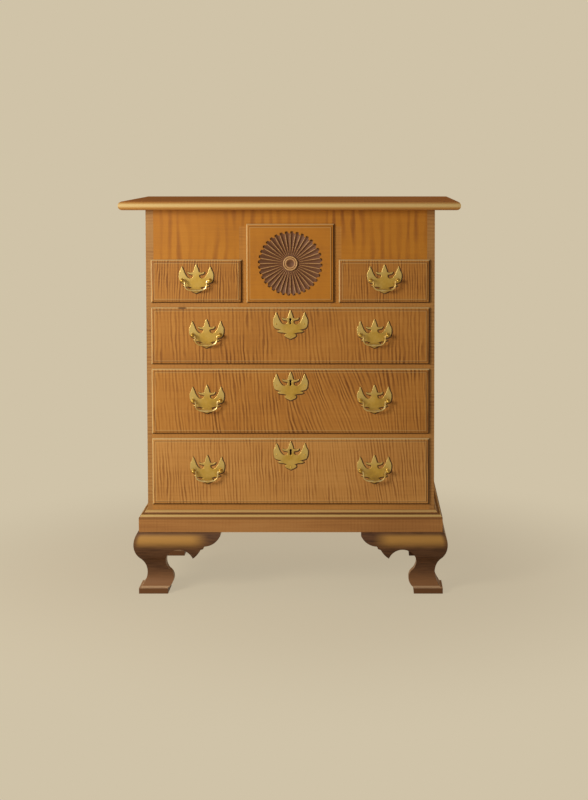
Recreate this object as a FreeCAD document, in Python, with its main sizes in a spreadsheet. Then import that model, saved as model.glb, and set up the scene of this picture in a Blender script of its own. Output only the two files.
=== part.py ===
import FreeCAD, Part
import math
import os
import re
import Sketcher

# A small chest of six lipped drawers under an overhanging top, on cabriole bracket feet.
# The floor is z = 0, the front faces -Y and x = 0 is the middle of the front. Millimetres.

Vector = FreeCAD.Vector

SIZES = dict(
    # Case
    case_width=760,         # outside of one side to outside of the other
    case_depth=440,         # front edge to back edge of a side
    side_thick=20,
    back_thick=14,
    back_rabbet=10,         # how far a side's rabbet holds the back boards
    back_count=3,
    bottom_thick=20,
    case_floor=52,          # lower edge of the sides to the bottom rail's visible part
    # Top
    top_thick=23,
    top_side=65,            # overhang at each end
    top_front=50,
    top_back=20,
    nose_flat=1,            # flat left between the two rounds of the bullnose
    # Front frame
    rail_height=26,
    rail_depth=65,
    rail_housing=8,         # how far a rail is let into each side
    post_width=26,
    post_depth=40,
    post_lap=10,            # thickness of the tongue that crosses the upper rail
    frieze_thick=20,
    frieze_over_fan=44,
    fan_width=217,
    fan_open=194,
    small_open=100,
    upper_open=137,
    middle_open=159,
    lower_open=163,
    # Drawer supports
    runner_width=20,
    centre_runner=58,
    kicker_width=40,
    kicker_thick=20,
    # Base moulding and feet
    base_fascia=38,
    bead_radius=9,
    bead_quirk=2,           # flat step between one bead and the next
    foot_height=165,
    foot_pattern=165,       # foot height that the heights of the bracket's pattern are drawn for
    pad_height=15,
    pad_width=77,
    pad_proud=1,
    pad_back=0.5,           # pad past the leg on its inner side
    knee_in=43,             # centre of the knee's arc, in from the base face
    knee_height=133,
    ankle_out=36.5,         # centre of the ankle's arc, out from the base face
    ankle_height=54,
    wing_front=216,         # reach of a front bracket from the corner
    wing_side=190,
    wing_height=157,        # underside of a wing at its end
    wing_bow=0.14,          # rise of its curve, as a share of its span
    step_in=174,            # small step between the wing and the pointed drop
    step_height=129.5,
    step_tall=7,
    step_lean=3,
    step_shelf=7,
    step_fall=2.5,
    drop_height=92.5,       # tip of the drop
    drop_bow=0.05,
    arch_in=106,            # centre of the arch beside the leg
    arch_height=84,
    arch_radius=36.8,
    heel_in=78.5,           # where the arch turns into the heel
    heel_bulge=89.5,
    heel_height=41,
    rear_thick=20,
    rear_reach=150,
    rear_bow=0.2,
    block_width=18,
    # Drawers
    lip=7,                  # how far a lip covers the frame round its opening
    lip_thick=6.5,
    lip_flat=1.5,           # square edge left behind the lip's round
    field_inset=8,          # lip's edge to the raised field
    field_raise=1.5,
    front_inset=14,         # part of a front that goes into its opening
    side_gap=1.5,
    top_gap=3,
    drawer_clear=21,        # space behind a closed drawer
    drawer_side=12,
    drawer_back=12,
    drawer_bottom=8,
    bottom_up=6,
    groove_deep=6,
    tail_long=11,           # dovetail into the front
    tail_pin=6,             # pin between two tails, at its narrow end
    tail_flare=2.5,
    # Carved fan
    fan_rays=36,
    fan_radius=85,          # points of the flutes
    fan_tip=6,              # how far a flute's point passes the ridges
    fan_rim=8,              # width of the rim that slopes up to the face
    fan_ridge=1,            # depth of a ridge inside the rim
    fan_flute=5,            # depth of a flute there
    fan_dish=7,             # depth of the flutes round the boss
    boss_radius=19.5,
    boss_sunk=1.5,          # top of the boss below the face
    boss_hollow=13.5,       # radius of the boss's dished middle
    boss_pit=3,             # radius at its bottom
    boss_dish=4,
    # Brasses
    plate_thick=1.6,
    post_apart=72,
    plate_pattern=72,       # post spacing that the plate's outline is drawn for
    handle_x=221,           # handles from the middle of a long drawer
    handle_rise=3,          # bail axis above the drawer's middle
    pivot_out=12,           # bail axis in front of the plate
    head_radius=4.6,        # middle of a post's head to its flats
    head_front=5,           # head's end in front of the bail axis
    head_chamfer=2,
    shank_width=5,
    bore_play=0.08,
    hole_play=0.1,
    nut_width=11,
    nut_thick=4,
    bar_radius=2.5,
    pin_deep=6.5,           # how far the bar goes into its post
    bore_end=0.4,           # bore past the bar's end
    bail_drop=26,
    bail_in=9,              # bail's arms, in from the posts
    bail_corner=14,
    bail_elbow=3,
    # Locks
    lock_width=60,
    lock_height=46,
    lock_deep=10,
    bolt_width=22,
    bolt_thick=5,
    bolt_tall=13,
    bolt_play=0.2,
    bolt_throw=8,
    mortise_play=1,
    key_drop=29,            # keyhole's middle below the top of the opening
    key_height=16,
    key_slot=4.6,
    key_round=3.1,
    key_deep=5,             # keyhole into the lock case
    key_rise=13,            # keyhole's middle above the line where a plate's bail would hang
)

# Heights, planes and widths that follow from the driving sizes.
LEVELS = dict(
    top_width="case_width + 2 * top_side",
    top_depth="case_depth + top_front + top_back",
    case_half="case_width / 2",
    clear_half="case_width / 2 - side_thick",
    case_front="top_front - (case_depth + top_front + top_back) / 2",
    case_back="case_front + case_depth",
    back_face="case_back - back_thick",
    rail_back="case_front + rail_depth",
    lower_floor="foot_height + case_floor + rail_height",
    lower_roof="lower_floor + lower_open",
    middle_floor="lower_roof + rail_height",
    middle_roof="middle_floor + middle_open",
    upper_floor="middle_roof + rail_height",
    upper_roof="upper_floor + upper_open",
    small_floor="upper_roof + rail_height",
    small_roof="small_floor + small_open",
    fan_roof="small_floor + fan_open",
    case_top="fan_roof + frieze_over_fan",
    post_in="fan_width / 2",
    post_out="post_in + post_width",
    small_width="clear_half - post_out",
    small_mid="(clear_half + post_out) / 2",
    base_out="2 * (bead_radius + bead_quirk)",
    base_half="case_half + base_out",
    base_front="case_front - base_out",
    bracket_deep="base_out + side_thick",
    lip_face="case_front - lip_thick",
    field_face="lip_face - field_raise",
    plate_face="field_face - plate_thick",
    pivot_y="plate_face - pivot_out",
    inset_back="case_front + front_inset",
    drawer_end="back_face - drawer_clear",
    top_round="(top_thick - nose_flat) / 2",
    lip_round="lip_thick - lip_flat",
    toe_in="pad_width - pad_proud - pad_back",
    foot_stretch="foot_height / foot_pattern",
    post_half="post_apart / 2",
    plate_stretch="post_apart / plate_pattern",
    bail_half="post_half - bail_in",
    pin_end="post_half - head_radius + pin_deep",
    lock_mid="inset_back - lock_deep / 2",
)

doc = FreeCAD.newDocument("lowboy")
sheet = doc.addObject("Spreadsheet::Sheet", "sizes")
for row, (alias, number) in enumerate(SIZES.items(), 1):
    sheet.set(f"A{row}", alias)
    sheet.set(f"B{row}", str(number))
    sheet.setAlias(f"B{row}", alias)
levels = doc.addObject("App::FeaturePython", "levels")
doc.recompute()

WORD = re.compile(r"\b[a-z_]+\b")


def tied(text):
    """The same expression with each size and level named in full."""
    def full(match):
        word = match.group(0)
        if word in SIZES:
            return "sizes." + word
        return "levels." + word if word in LEVELS else word
    return WORD.sub(full, str(text))


for level, rule in LEVELS.items():
    levels.addProperty("App::PropertyFloat", level)
    levels.setExpression(level, tied(rule))
doc.recompute()


def size(word):
    """The number that a size or a level has now."""
    return float(getattr(sheet if word in SIZES else levels, word))


def bind(item, **rules):
    for name, rule in rules.items():
        item.setExpression(name.replace("__", "."), tied(rule))
    return item


def between(span):
    return f"({span[1]}) - ({span[0]})"


def block(label, x, y, z):
    """A square-edged board from its low to its high limit along each axis."""
    item = doc.addObject("Part::Box", label)
    bind(item, Length=between(x), Width=between(y), Height=between(z))
    return bind(item, Placement__Base__x=x[0], Placement__Base__y=y[0], Placement__Base__z=z[0])


def rod(label, radius, x, y, z, long, along):
    """A cylinder that starts at x, y, z and runs along X or Y."""
    item = doc.addObject("Part::Cylinder", label)
    turn = {"X": (Vector(0, 1, 0), 90), "Y": (Vector(1, 0, 0), -90)}[along]
    item.Placement = FreeCAD.Placement(Vector(), FreeCAD.Rotation(*turn))
    bind(item, Radius=radius, Height=long)
    return bind(item, Placement__Base__x=x, Placement__Base__y=y, Placement__Base__z=z)


def fuse(label, items):
    item = doc.addObject("Part::MultiFuse", label)
    item.Shapes = items
    item.Refine = True
    return item


def cut(label, base, tools):
    item = doc.addObject("Part::Cut", label)
    item.Base = base
    item.Tool = tools[0] if len(tools) == 1 else fuse(label + "_tools", tools)
    return item


def group(label, items):
    item = doc.addObject("Part::Compound", label)
    item.Links = items
    return item


def mirrored(label, source):
    item = doc.addObject("Part::Mirroring", label)
    item.Source = source
    item.Normal = Vector(1, 0, 0)
    return item


def flat(point):
    return Vector(point[0], point[1], 0)


def outline(start, *moves):
    """A closed line: a move is a point to reach, or an arc's middle and end points."""
    pen = start
    edges = []
    for move in moves + (start,):
        if isinstance(move[0], tuple):
            edges.append(Part.ArcOfCircle(flat(pen), flat(move[0]), flat(move[1])))
            pen = move[1]
        elif math.dist(pen, move) > 1e-6:
            edges.append(Part.LineSegment(flat(pen), flat(move)))
            pen = move
    return edges


def new_sketch(body, plane, away, edges, across="0", up="0"):
    """A sketch of the given edges, on a plane parallel to one of the body's own."""
    item = body.newObject("Sketcher::SketchObject", body.Name + "_sketch")
    support = [f for f in body.Origin.OriginFeatures if f.Role == plane][0]
    item.AttachmentSupport = [(support, "")]
    item.MapMode = "FlatFace"
    bind(item, AttachmentOffset__Base__x=across, AttachmentOffset__Base__y=up, AttachmentOffset__Base__z=away)
    item.addGeometry(edges, False)
    return item


def rectangle(body, plane, away, across, up):
    """A sketched rectangle whose four limits are tied to sizes."""
    corners = [(-1, -1), (1, -1), (1, 1), (-1, 1)]
    item = new_sketch(body, plane, away, outline(*corners))
    for side in range(4):
        item.addConstraint(Sketcher.Constraint("Coincident", side, 2, (side + 1) % 4, 1))
        item.addConstraint(Sketcher.Constraint("Vertical" if side % 2 else "Horizontal", side))
    limits = [("DistanceX", 0, across[0]), ("DistanceX", 1, across[1]),
              ("DistanceY", 0, up[0]), ("DistanceY", 2, up[1])]
    for count, (kind, corner, rule) in enumerate(limits):
        index = item.addConstraint(Sketcher.Constraint(kind, -1, 1, corner, 1, corners[corner][count // 2]))
        item.renameConstraint(index, f"limit_{'abcd'[count]}")
        item.setExpression(f"Constraints.limit_{'abcd'[count]}", tied(rule))
    return item


def pad(body, sketch, length, back=False):
    item = body.newObject("PartDesign::Pad", body.Name + "_pad")
    item.Profile = sketch
    item.Reversed = back
    return bind(item, Length=length)


def pocket_through(body, sketch):
    item = body.newObject("PartDesign::Pocket", body.Name + "_pocket")
    item.Profile = sketch
    item.Type = "ThroughAll"
    return item


def new_body(label):
    return doc.addObject("PartDesign::Body", label)


NODES = {}


def node(label, item):
    item.Label = label
    NODES[label] = item
    return item


# Front frame: rails let into the sides, posts beside the fan drawer, and the frieze board.

housed = ("-clear_half - rail_housing", "clear_half + rail_housing")


def bolt_mortise(label, roof):
    """The slot in a rail's underside for the bolt of the drawer below."""
    half = "(bolt_width / 2 + mortise_play)"
    deep = "(bolt_thick / 2 + mortise_play)"
    return block(label, ("-" + half, half), (f"lock_mid - {deep}", f"lock_mid + {deep}"),
                 (roof, f"{roof} + bolt_throw - top_gap + mortise_play"))


def rail(name, roof, notches=()):
    board = block(name + "_blank", housed, ("case_front", "rail_back"), (roof, roof + " + rail_height"))
    return cut(name, board, [bolt_mortise(name + "_mortise", roof), *notches])


def drawer_post(name, inner, outer):
    upright = block(name + "_upright", (inner, outer), ("case_front", "case_front + post_depth"),
                    ("small_floor", "fan_roof"))
    tongue = block(name + "_tongue", (inner, outer), ("case_front", "case_front + post_lap"),
                   ("upper_roof", "small_floor"))
    return fuse(name, [upright, tongue])


posts = [drawer_post("left_post", "-post_out", "-post_in"), drawer_post("right_post", "post_in", "post_out")]
rails = [rail("upper_rail", "upper_roof", posts), rail("middle_rail", "middle_roof"),
         rail("lower_rail", "lower_roof")]
bottom_rail = block("front_bottom_rail", housed, ("case_front", "case_front + side_thick"),
                    ("foot_height", "lower_floor"))
node("drawer_posts", group("post_pair", posts))
node("drawer_rails", group("rail_set", [*rails, bottom_rail]))

frieze_run = ("case_front", "case_front + frieze_thick")
frieze_blank = block("frieze_blank", ("-clear_half", "clear_half"), frieze_run, ("small_roof", "case_top"))
frieze_notch = block("frieze_notch", ("-post_out", "post_out"), frieze_run, ("small_roof", "fan_roof"))
node("frieze_board", cut("frieze", frieze_blank, [frieze_notch]))

# Case: bottom, back boards, sides with the housings that these pieces need, and the top.

bottom_board = node("bottom_board", block("bottom", housed, ("case_front + side_thick", "back_face"),
                                          ("lower_floor - bottom_thick", "lower_floor")))

board_height = "(case_top - foot_height) / back_count"
back_across = ("back_rabbet - case_half", "case_half - back_rabbet")
back_boards = []
for count in range(int(size("back_count"))):
    low = f"foot_height + {count} * {board_height}"
    back_boards.append(block(f"back_board_{count}", back_across, ("back_face", "case_back"),
                             (low, f"{low} + {board_height}")))
node("back_boards", group("back", back_boards))

side_blank = block("side_blank", ("-case_half", "-clear_half"), ("case_front", "case_back"),
                   ("foot_height", "case_top"))
left_side = node("left_side", cut("side", side_blank, [*rails, bottom_rail, bottom_board, *back_boards]))
node("right_side", mirrored("side_mirrored", left_side))


def top_board():
    """The top, with a bullnose on its front and end edges and a square back edge."""
    body = new_body("top")
    sheet_of_wood = rectangle(body, "XY_Plane", "case_top", ("-top_width / 2", "top_width / 2"),
                              ("-top_depth / 2", "top_depth / 2"))
    slab = pad(body, sheet_of_wood, "top_thick")
    doc.recompute()
    rear = size("top_depth") / 2
    edges = []
    for count, edge in enumerate(slab.Shape.Edges, 1):
        if edge.BoundBox.ZLength < 1e-6 and edge.BoundBox.YMin < rear - 1e-6:
            edges.append(f"Edge{count}")
    nose = body.newObject("PartDesign::Fillet", "top_bullnose")
    nose.Base = (slab, edges)
    bind(nose, Radius="top_round")
    return body


node("top_board", top_board())

# Drawer supports behind the front frame.

runners = []
for name, roof in (("upper", "upper_roof"), ("middle", "middle_roof"), ("lower", "lower_roof")):
    runner = block(f"{name}_left_runner", ("-clear_half", "runner_width - clear_half"),
                   ("rail_back", "back_face"), (roof, f"{roof} + rail_height"))
    runners += [runner, mirrored(f"{name}_right_runner", runner)]
centre_runner = block("left_centre_runner", ("-(post_in + post_out + centre_runner) / 2",
                                             "-(post_in + post_out - centre_runner) / 2"),
                      ("rail_back", "back_face"), ("upper_roof", "small_floor"))
runners += [centre_runner, mirrored("right_centre_runner", centre_runner)]
node("drawer_runners", group("runner_set", runners))

partition = block("left_partition", ("-post_out", "-post_in"), ("case_front + post_depth", "back_face"),
                  ("small_floor", "fan_roof"))
node("drawer_partitions", group("partition_pair", [partition, mirrored("right_partition", partition)]))


def kicker(name, middle, roof):
    return block(name, (f"{middle} - kicker_width / 2", f"{middle} + kicker_width / 2"),
                 ("case_front + frieze_thick", "back_face"), (roof, f"{roof} + kicker_thick"))


node("drawer_kickers", group("kicker_set", [kicker("left_kicker", "-small_mid", "small_roof"),
                                            kicker("fan_kicker", "0", "fan_roof"),
                                            kicker("right_kicker", "small_mid", "small_roof")]))

# Base moulding: a plain fascia below two stepped beads, mitred at the front corners.


def moulding_profile(face, outward):
    """The moulding's section on a wall at face, standing out in the direction of outward."""
    bead = size("bead_radius")
    quirk = size("bead_quirk")
    foot = size("foot_height")
    fascia = foot + size("base_fascia")
    out = size("base_out")
    bulge = bead * math.sqrt(0.5)

    def at(away, height):
        return (face + outward * away, height)

    return outline(at(0, foot), at(out, foot), at(out, fascia), at(out - quirk, fascia),
                   (at(out - quirk - bead + bulge, fascia + bulge), at(bead + quirk, fascia + bead)),
                   at(bead, fascia + bead),
                   (at(bulge, fascia + bead + bulge), at(0, fascia + 2 * bead)))


def mitre(body, points, height):
    """Cuts a corner off along a mitre, from above."""
    pocket_through(body, new_sketch(body, "XY_Plane", height, outline(*points)))


half = size("case_half")
front = size("case_front")
out = size("base_out")
above = "case_top"
front_moulding = new_body("front_moulding")
pad(front_moulding, new_sketch(front_moulding, "YZ_Plane", "-base_half", moulding_profile(front, -1)),
    "2 * base_half")
for hand in (-1, 1):
    mitre(front_moulding, [(hand * half, front), (hand * (half + out), front),
                           (hand * (half + out), front - out)], above)
side_moulding = new_body("left_moulding")
pad(side_moulding, new_sketch(side_moulding, "XZ_Plane", "-case_back", moulding_profile(-half, -1)),
    "case_depth + base_out")
mitre(side_moulding, [(-half, front), (-half - out, front - out), (-half, front - out)], above)
node("front_base_moulding", front_moulding)
both_mouldings = [side_moulding, mirrored("right_moulding", side_moulding)]
node("side_base_mouldings", group("moulding_pair", both_mouldings))

# Feet: two brackets, shaped to one S-curve outside and cut to a scrolled outline, mitred at the
# front corners. Depth is measured in from the base face, reach along it from the corner.


def drawn(word):
    """A height of the bracket's pattern, stretched with the foot."""
    return size(word) * size("foot_stretch")


def bowed(start, end, share):
    """An arc that rises to its left by a share of its span: its middle and end points."""
    across = (end[0] - start[0], end[1] - start[1])
    middle = ((start[0] + end[0]) / 2 - share * across[1], (start[1] + end[1]) / 2 + share * across[0])
    return (middle, end)


def foot_section():
    """Depth and height round a bracket: knee and ankle arcs that meet in a smooth S."""
    knee = (size("knee_in"), drawn("knee_height"))
    ankle = (-size("ankle_out"), drawn("ankle_height"))
    radius = math.dist(knee, ankle) / 2
    top = size("foot_height")
    low = size("pad_height")
    turn = ((knee[0] + ankle[0]) / 2, (knee[1] + ankle[1]) / 2)
    crown = knee[0] - math.sqrt(radius ** 2 - (top - knee[1]) ** 2)
    toe = ankle[0] + math.sqrt(radius ** 2 - (low - ankle[1]) ** 2)
    deep = size("bracket_deep")
    return [(crown, top), ((knee[0] - radius, knee[1]), turn), ((ankle[0] + radius, ankle[1]), (toe, low)),
            (deep, low), (deep, top)]


def scroll_waste(reach):
    """Reach and height round the wood that the scrolled outline of a bracket takes away."""
    centre = (size("arch_in"), drawn("arch_height"))
    radius = size("arch_radius")
    drop = math.asin((drawn("drop_height") - centre[1]) / radius)
    heel = math.pi + math.acos((centre[0] - size("heel_in")) / radius)

    def on_arch(angle):
        return (centre[0] + radius * math.cos(angle), centre[1] + radius * math.sin(angle))

    wing = (reach, drawn("wing_height"))
    step = (size("step_in"), drawn("step_height"))
    foot = (step[0] - size("step_lean"), step[1] - size("step_tall"))
    shelf = (foot[0] - size("step_shelf"), foot[1] - size("step_fall"))
    toe = size("toe_in")
    low = size("pad_height")
    return [wing, bowed(wing, step, size("wing_bow")), foot, shelf,
            bowed(shelf, on_arch(drop), size("drop_bow")),
            (on_arch((drop + heel) / 2), on_arch(heel)),
            ((size("heel_bulge"), drawn("heel_height")), (toe, low)),
            (toe, 0), (reach + low, 0), (reach + low, wing[1])]


def placed(points, corner, inward):
    """Moves an outline measured from a corner to its place along an axis."""
    moved = []
    for point in points:
        if isinstance(point[0], tuple):
            moved.append(tuple((corner + inward * p[0], p[1]) for p in point))
        else:
            moved.append((corner + inward * point[0], point[1]))
    return outline(*moved)


side_face = -size("base_half")
front_face = size("base_front")
rear_face = size("case_back")
past = size("bracket_deep")         # the mitre's cut runs past the knee and the bracket's back


def front_bracket():
    body = new_body("left_front_bracket")
    section = new_sketch(body, "YZ_Plane", "-base_half - bracket_deep", placed(foot_section(), front_face, 1))
    pad(body, section, "wing_front + bracket_deep")
    waste = placed(scroll_waste(size("wing_front")), side_face, 1)
    pocket_through(body, new_sketch(body, "XZ_Plane", "-(base_front - bracket_deep)", waste))
    mitre(body, [(side_face - past, front_face - past), (side_face + past, front_face + past),
                 (side_face - past, front_face + past)], above)
    return body


def side_bracket(name, start, corner, inward, mitred):
    body = new_body(name)
    section = new_sketch(body, "XZ_Plane", f"-({start[1]})", placed(foot_section(), side_face, 1))
    pad(body, section, between(start))
    waste = placed(scroll_waste(size("wing_side")), corner, inward)
    pocket_through(body, new_sketch(body, "YZ_Plane", "0", waste))
    if mitred:
        mitre(body, [(side_face - past, front_face - past), (side_face + past, front_face + past),
                     (side_face + past, front_face - past)], above)
    return body


def rear_board():
    """The plain board behind a rear foot, with one curved cut."""
    body = new_body("left_rear_board")
    start = side_face + size("bracket_deep")
    leg = side_face + size("toe_in")
    end = side_face + size("rear_reach")
    top = size("foot_height")
    low = size("pad_height")
    crook = (leg, drawn("arch_height"))
    curve = bowed(crook, (end, drawn("wing_height")), size("rear_bow"))
    edges = outline((start, low), (leg, low), crook, curve, (end, top), (start, top))
    pad(body, new_sketch(body, "XZ_Plane", "-case_back", edges), "rear_thick")
    return body


front_run = ("base_front - bracket_deep", "base_front + wing_side")
front_foot = node("front_left_foot", group("left_front_foot", [
    front_bracket(), side_bracket("left_side_bracket", front_run, front_face, 1, True)]))
node("front_right_foot", mirrored("right_front_foot", front_foot))
rear_run = ("case_back - wing_side", "case_back")
rear_pieces = [side_bracket("left_rear_bracket", rear_run, rear_face, -1, False), rear_board()]
rear_pieces += [mirrored(f"{piece.Name}_mirrored", piece) for piece in rear_pieces]
node("rear_feet", group("rear_foot_set", rear_pieces))

pad_across = ("-base_half - pad_proud", "pad_width - pad_proud - base_half")
block_across = ("bracket_deep - base_half", "bracket_deep + block_width - base_half")
front_pad = block("left_front_pad", pad_across,
                  ("base_front - pad_proud", "base_front - pad_proud + pad_width"), ("0", "pad_height"))
rear_pad = block("left_rear_pad", pad_across, ("case_back - pad_width", "case_back"), ("0", "pad_height"))
front_block = block("left_front_block", block_across,
                    ("base_front + bracket_deep", "base_front + bracket_deep + block_width"),
                    ("pad_height", "lower_floor - bottom_thick"))
rear_block = block("left_rear_block", block_across,
                   ("case_back - rear_thick - block_width", "case_back - rear_thick"),
                   ("pad_height", "lower_floor - bottom_thick"))
node("foot_pads", group("pad_set", [front_pad, rear_pad, mirrored("right_front_pad", front_pad),
                                    mirrored("right_rear_pad", rear_pad)]))
node("foot_glue_blocks", group("block_set", [front_block, rear_block,
                                             mirrored("right_front_block", front_block),
                                             mirrored("right_rear_block", rear_block)]))

# Drawers: lipped fronts, dovetailed sides and back, and a bottom in grooves.


def dovetail(label, x, y, z, long, wide, forward):
    """One tail of a drawer side, wide at its tip, which points forward or back."""
    item = doc.addObject("Part::Wedge", label)
    ends = [("0", wide), ("tail_flare", f"{wide} - tail_flare")]
    near, far = ends if forward else reversed(ends)
    bind(item, Xmin="0", Xmax="drawer_side", X2min="0", X2max="drawer_side", Ymin="0", Ymax=long)
    bind(item, Zmin=near[0], Zmax=near[1], Z2min=far[0], Z2max=far[1])
    return bind(item, Placement__Base__x=x, Placement__Base__y=y, Placement__Base__z=z)


def drawer_side(name, x, floor, height, tails, bottom):
    pitch = f"(({height} - top_gap) / {tails})"
    wide = f"({pitch} - tail_pin)"
    pieces = [block(f"{name}_board", (x, f"{x} + drawer_side"), ("inset_back", "drawer_end - drawer_back"),
                    (floor, f"{floor} + {height} - top_gap"))]
    for count in range(tails):
        low = f"{floor} + {count} * {pitch} + tail_pin / 2"
        pieces.append(dovetail(f"{name}_front_tail", x, "inset_back - tail_long", low,
                               "tail_long", wide, True))
        pieces.append(dovetail(f"{name}_back_tail", x, "drawer_end - drawer_back", low,
                               "drawer_back", wide, False))
    return cut(name, fuse(f"{name}_blank", pieces), [bottom])


def lipped_front(name, middle, floor, width, height):
    """A front with a rounded lip all round, a raised field and the part inside the opening."""
    body = new_body(f"{name}_front_body")

    def slab(face, x_out, low, high, thick, back=False):
        across = (f"{middle} - {width} / 2 - ({x_out})", f"{middle} + {width} / 2 + ({x_out})")
        up = (f"{floor} - ({low})", f"{floor} + {height} + ({high})")
        return pad(body, rectangle(body, "XZ_Plane", f"-({face})", across, up), thick, back)

    lip_slab = slab("case_front", "lip", "lip", "lip", "lip_thick")
    doc.recompute()
    edges = []
    for count, edge in enumerate(lip_slab.Shape.Edges, 1):
        if edge.BoundBox.YMax < size("lip_face") + 1e-6:
            edges.append(f"Edge{count}")
    nose = body.newObject("PartDesign::Fillet", f"{name}_lip_round")
    nose.Base = (lip_slab, edges)
    bind(nose, Radius="lip_round")
    slab("lip_face", "lip - field_inset", "lip - field_inset", "lip - field_inset", "field_raise")
    slab("case_front", "-side_gap", "0", "-top_gap", "front_inset", True)
    return body


def drawer(name, middle, floor, width, height, tails, cuts=()):
    """One drawer's front, box and bottom, each cut by the pieces that it holds."""
    half = f"({width} / 2 - side_gap)"
    low, high = f"{middle} - {half}", f"{middle} + {half}"
    groove = f"{floor} + bottom_up"
    bottom = block(f"{name}_panel",
                   (f"{low} + drawer_side - groove_deep", f"{high} - drawer_side + groove_deep"),
                   ("inset_back - groove_deep", "drawer_end"), (groove, f"{groove} + drawer_bottom"))
    sides = [drawer_side(f"{name}_left_board", low, floor, height, tails, bottom),
             drawer_side(f"{name}_right_board", f"{high} - drawer_side", floor, height, tails, bottom)]
    back = block(f"{name}_back_blank", (low, high), ("drawer_end - drawer_back", "drawer_end"),
                 (f"{groove} + drawer_bottom", f"{floor} + {height} - top_gap"))
    box = [*sides, cut(f"{name}_back_board", back, sides)]
    front = lipped_front(name, middle, floor, width, height)
    node(f"{name}_front", cut(f"{name}_front_cut", front, [*sides, bottom, *cuts]))
    node(f"{name}_box", group(f"{name}_box_set", box))
    node(f"{name}_bottom", bottom)


def fan_carving():
    """The wood taken out of the fan drawer's front: pointed flutes round a ringed, dished boss."""
    rays = int(size("fan_rays"))
    centre = size("small_floor") + size("fan_open") / 2
    face = size("field_face")
    boss = size("boss_radius")
    sunk = size("boss_sunk")
    ridge = size("fan_ridge")
    flute = size("fan_flute")
    dish = size("fan_dish")
    ridge_end = size("fan_radius") - size("fan_tip")
    rim = ridge_end - size("fan_rim")
    past_ridge = ridge_end + size("fan_rim") / ridge
    past_flute = size("fan_radius") + (size("fan_radius") - rim) / flute
    pit = (size("boss_pit"), sunk + size("boss_dish"))
    hollow = (size("boss_hollow"), sunk)
    # Radius and depth on a ridge and in a flute, from the pit out to 1 mm in front of the face.
    rings = [(pit, pit), (hollow, hollow), ((boss, sunk), (boss, sunk)), ((boss, dish - ridge), (boss, dish)),
             ((rim, ridge), (rim, flute)), ((past_ridge, -1), (past_flute, -1))]

    def ring_points(ring):
        points = []
        for step in range(2 * rays):
            radius, depth = ring[step % 2]
            angle = math.pi * step / rays
            points.append(Vector(radius * math.cos(angle), face + depth, centre + radius * math.sin(angle)))
        return points

    nets = [ring_points(ring) for ring in rings]
    outlines = [nets[0], nets[-1]]
    for step in range(2 * rays):
        after = (step + 1) % (2 * rays)
        for inside, outside in zip(nets, nets[1:]):
            outlines.append((inside[step], outside[step], outside[after]))
            outlines.append((inside[step], outside[after], inside[after]))
    faces = [Part.Face(Part.makePolygon([*corners, corners[0]])) for corners in outlines]
    carving = doc.addObject("Part::Feature", "fan_carving")
    carving.Shape = Part.makeSolid(Part.makeShell(faces))
    return carving


# Brasses: a bat-wing plate behind two posts, and a bail that swings in the posts' eyes. They repeat
# on every drawer, so their curves are short flats.

PLATE_HALF = [(0, 41), (5.2, 29), (8, 20.5), (21.5, 20), (8.6, 14.5), (8.6, 7), (13.5, 2), (20, 3.2),
              (25.2, 8.5), (31, 20.5), (37.5, 37.5), (41.5, 27), (45.6, 14), (44.8, 2), (40.5, -6), (33.5, -9.8),
              (25, -12.8), (36, -16.6), (28, -20), (9.4, -21.8), (11.8, -26), (8.6, -31), (0, -34.5)]


def plate_outline():
    stretch = size("plate_stretch")
    right = [(x * stretch, z * stretch) for x, z in PLATE_HALF]
    return outline(*right, *[(-x, z) for x, z in reversed(right[1:-1])])


def square(middle, wide):
    return outline((middle - wide / 2, -wide / 2), (middle + wide / 2, -wide / 2),
                   (middle + wide / 2, wide / 2), (middle - wide / 2, wide / 2))


def brass_plate(name, edges):
    """A flat plate of the given outline, on a drawer front's field."""
    body = new_body(name)
    pad(body, new_sketch(body, "XZ_Plane", "-field_face", edges), "plate_thick")
    return body


def handle_plate():
    edges = plate_outline()
    for hand in (-1, 1):
        edges += square(hand * size("post_half"), size("shank_width") + 2 * size("hole_play"))
    return brass_plate("handle_plate", edges)


def cast_post():
    """The right-hand post: an eight-sided head drilled for the bail, a square shank and its nut."""
    body = new_body("post_head")
    corner = size("head_radius") / math.cos(math.pi / 8)
    corners = []
    for step in range(8):
        angle = math.pi * (2 * step + 1) / 8
        corners.append((corner * math.cos(angle), corner * math.sin(angle)))
    head = pad(body, new_sketch(body, "XZ_Plane", "-plate_face", outline(*corners)), "pivot_out + head_front")
    doc.recompute()
    tip = size("pivot_y") - size("head_front")
    edges = []
    for count, edge in enumerate(head.Shape.Edges, 1):
        if edge.BoundBox.YMax < tip + 1e-6:
            edges.append(f"Edge{count}")
    bevel = body.newObject("PartDesign::Chamfer", "post_head_bevel")
    bevel.Base = (head, edges)
    bind(bevel, Size="head_chamfer")
    shank_half = ("-shank_width / 2", "shank_width / 2")
    nut_half = ("-nut_width / 2", "nut_width / 2")
    shank = block("post_shank", shank_half, ("plate_face", "inset_back"), shank_half)
    nut = block("post_nut", nut_half, ("inset_back", "inset_back + nut_thick"), nut_half)
    bore = rod("post_bore", "bar_radius + bore_play", "-head_radius", "pivot_y", "0",
               "pin_deep + bore_end", "X")
    return cut("cast_post", fuse("post_blank", [body, shank, nut]), [bore])


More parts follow.
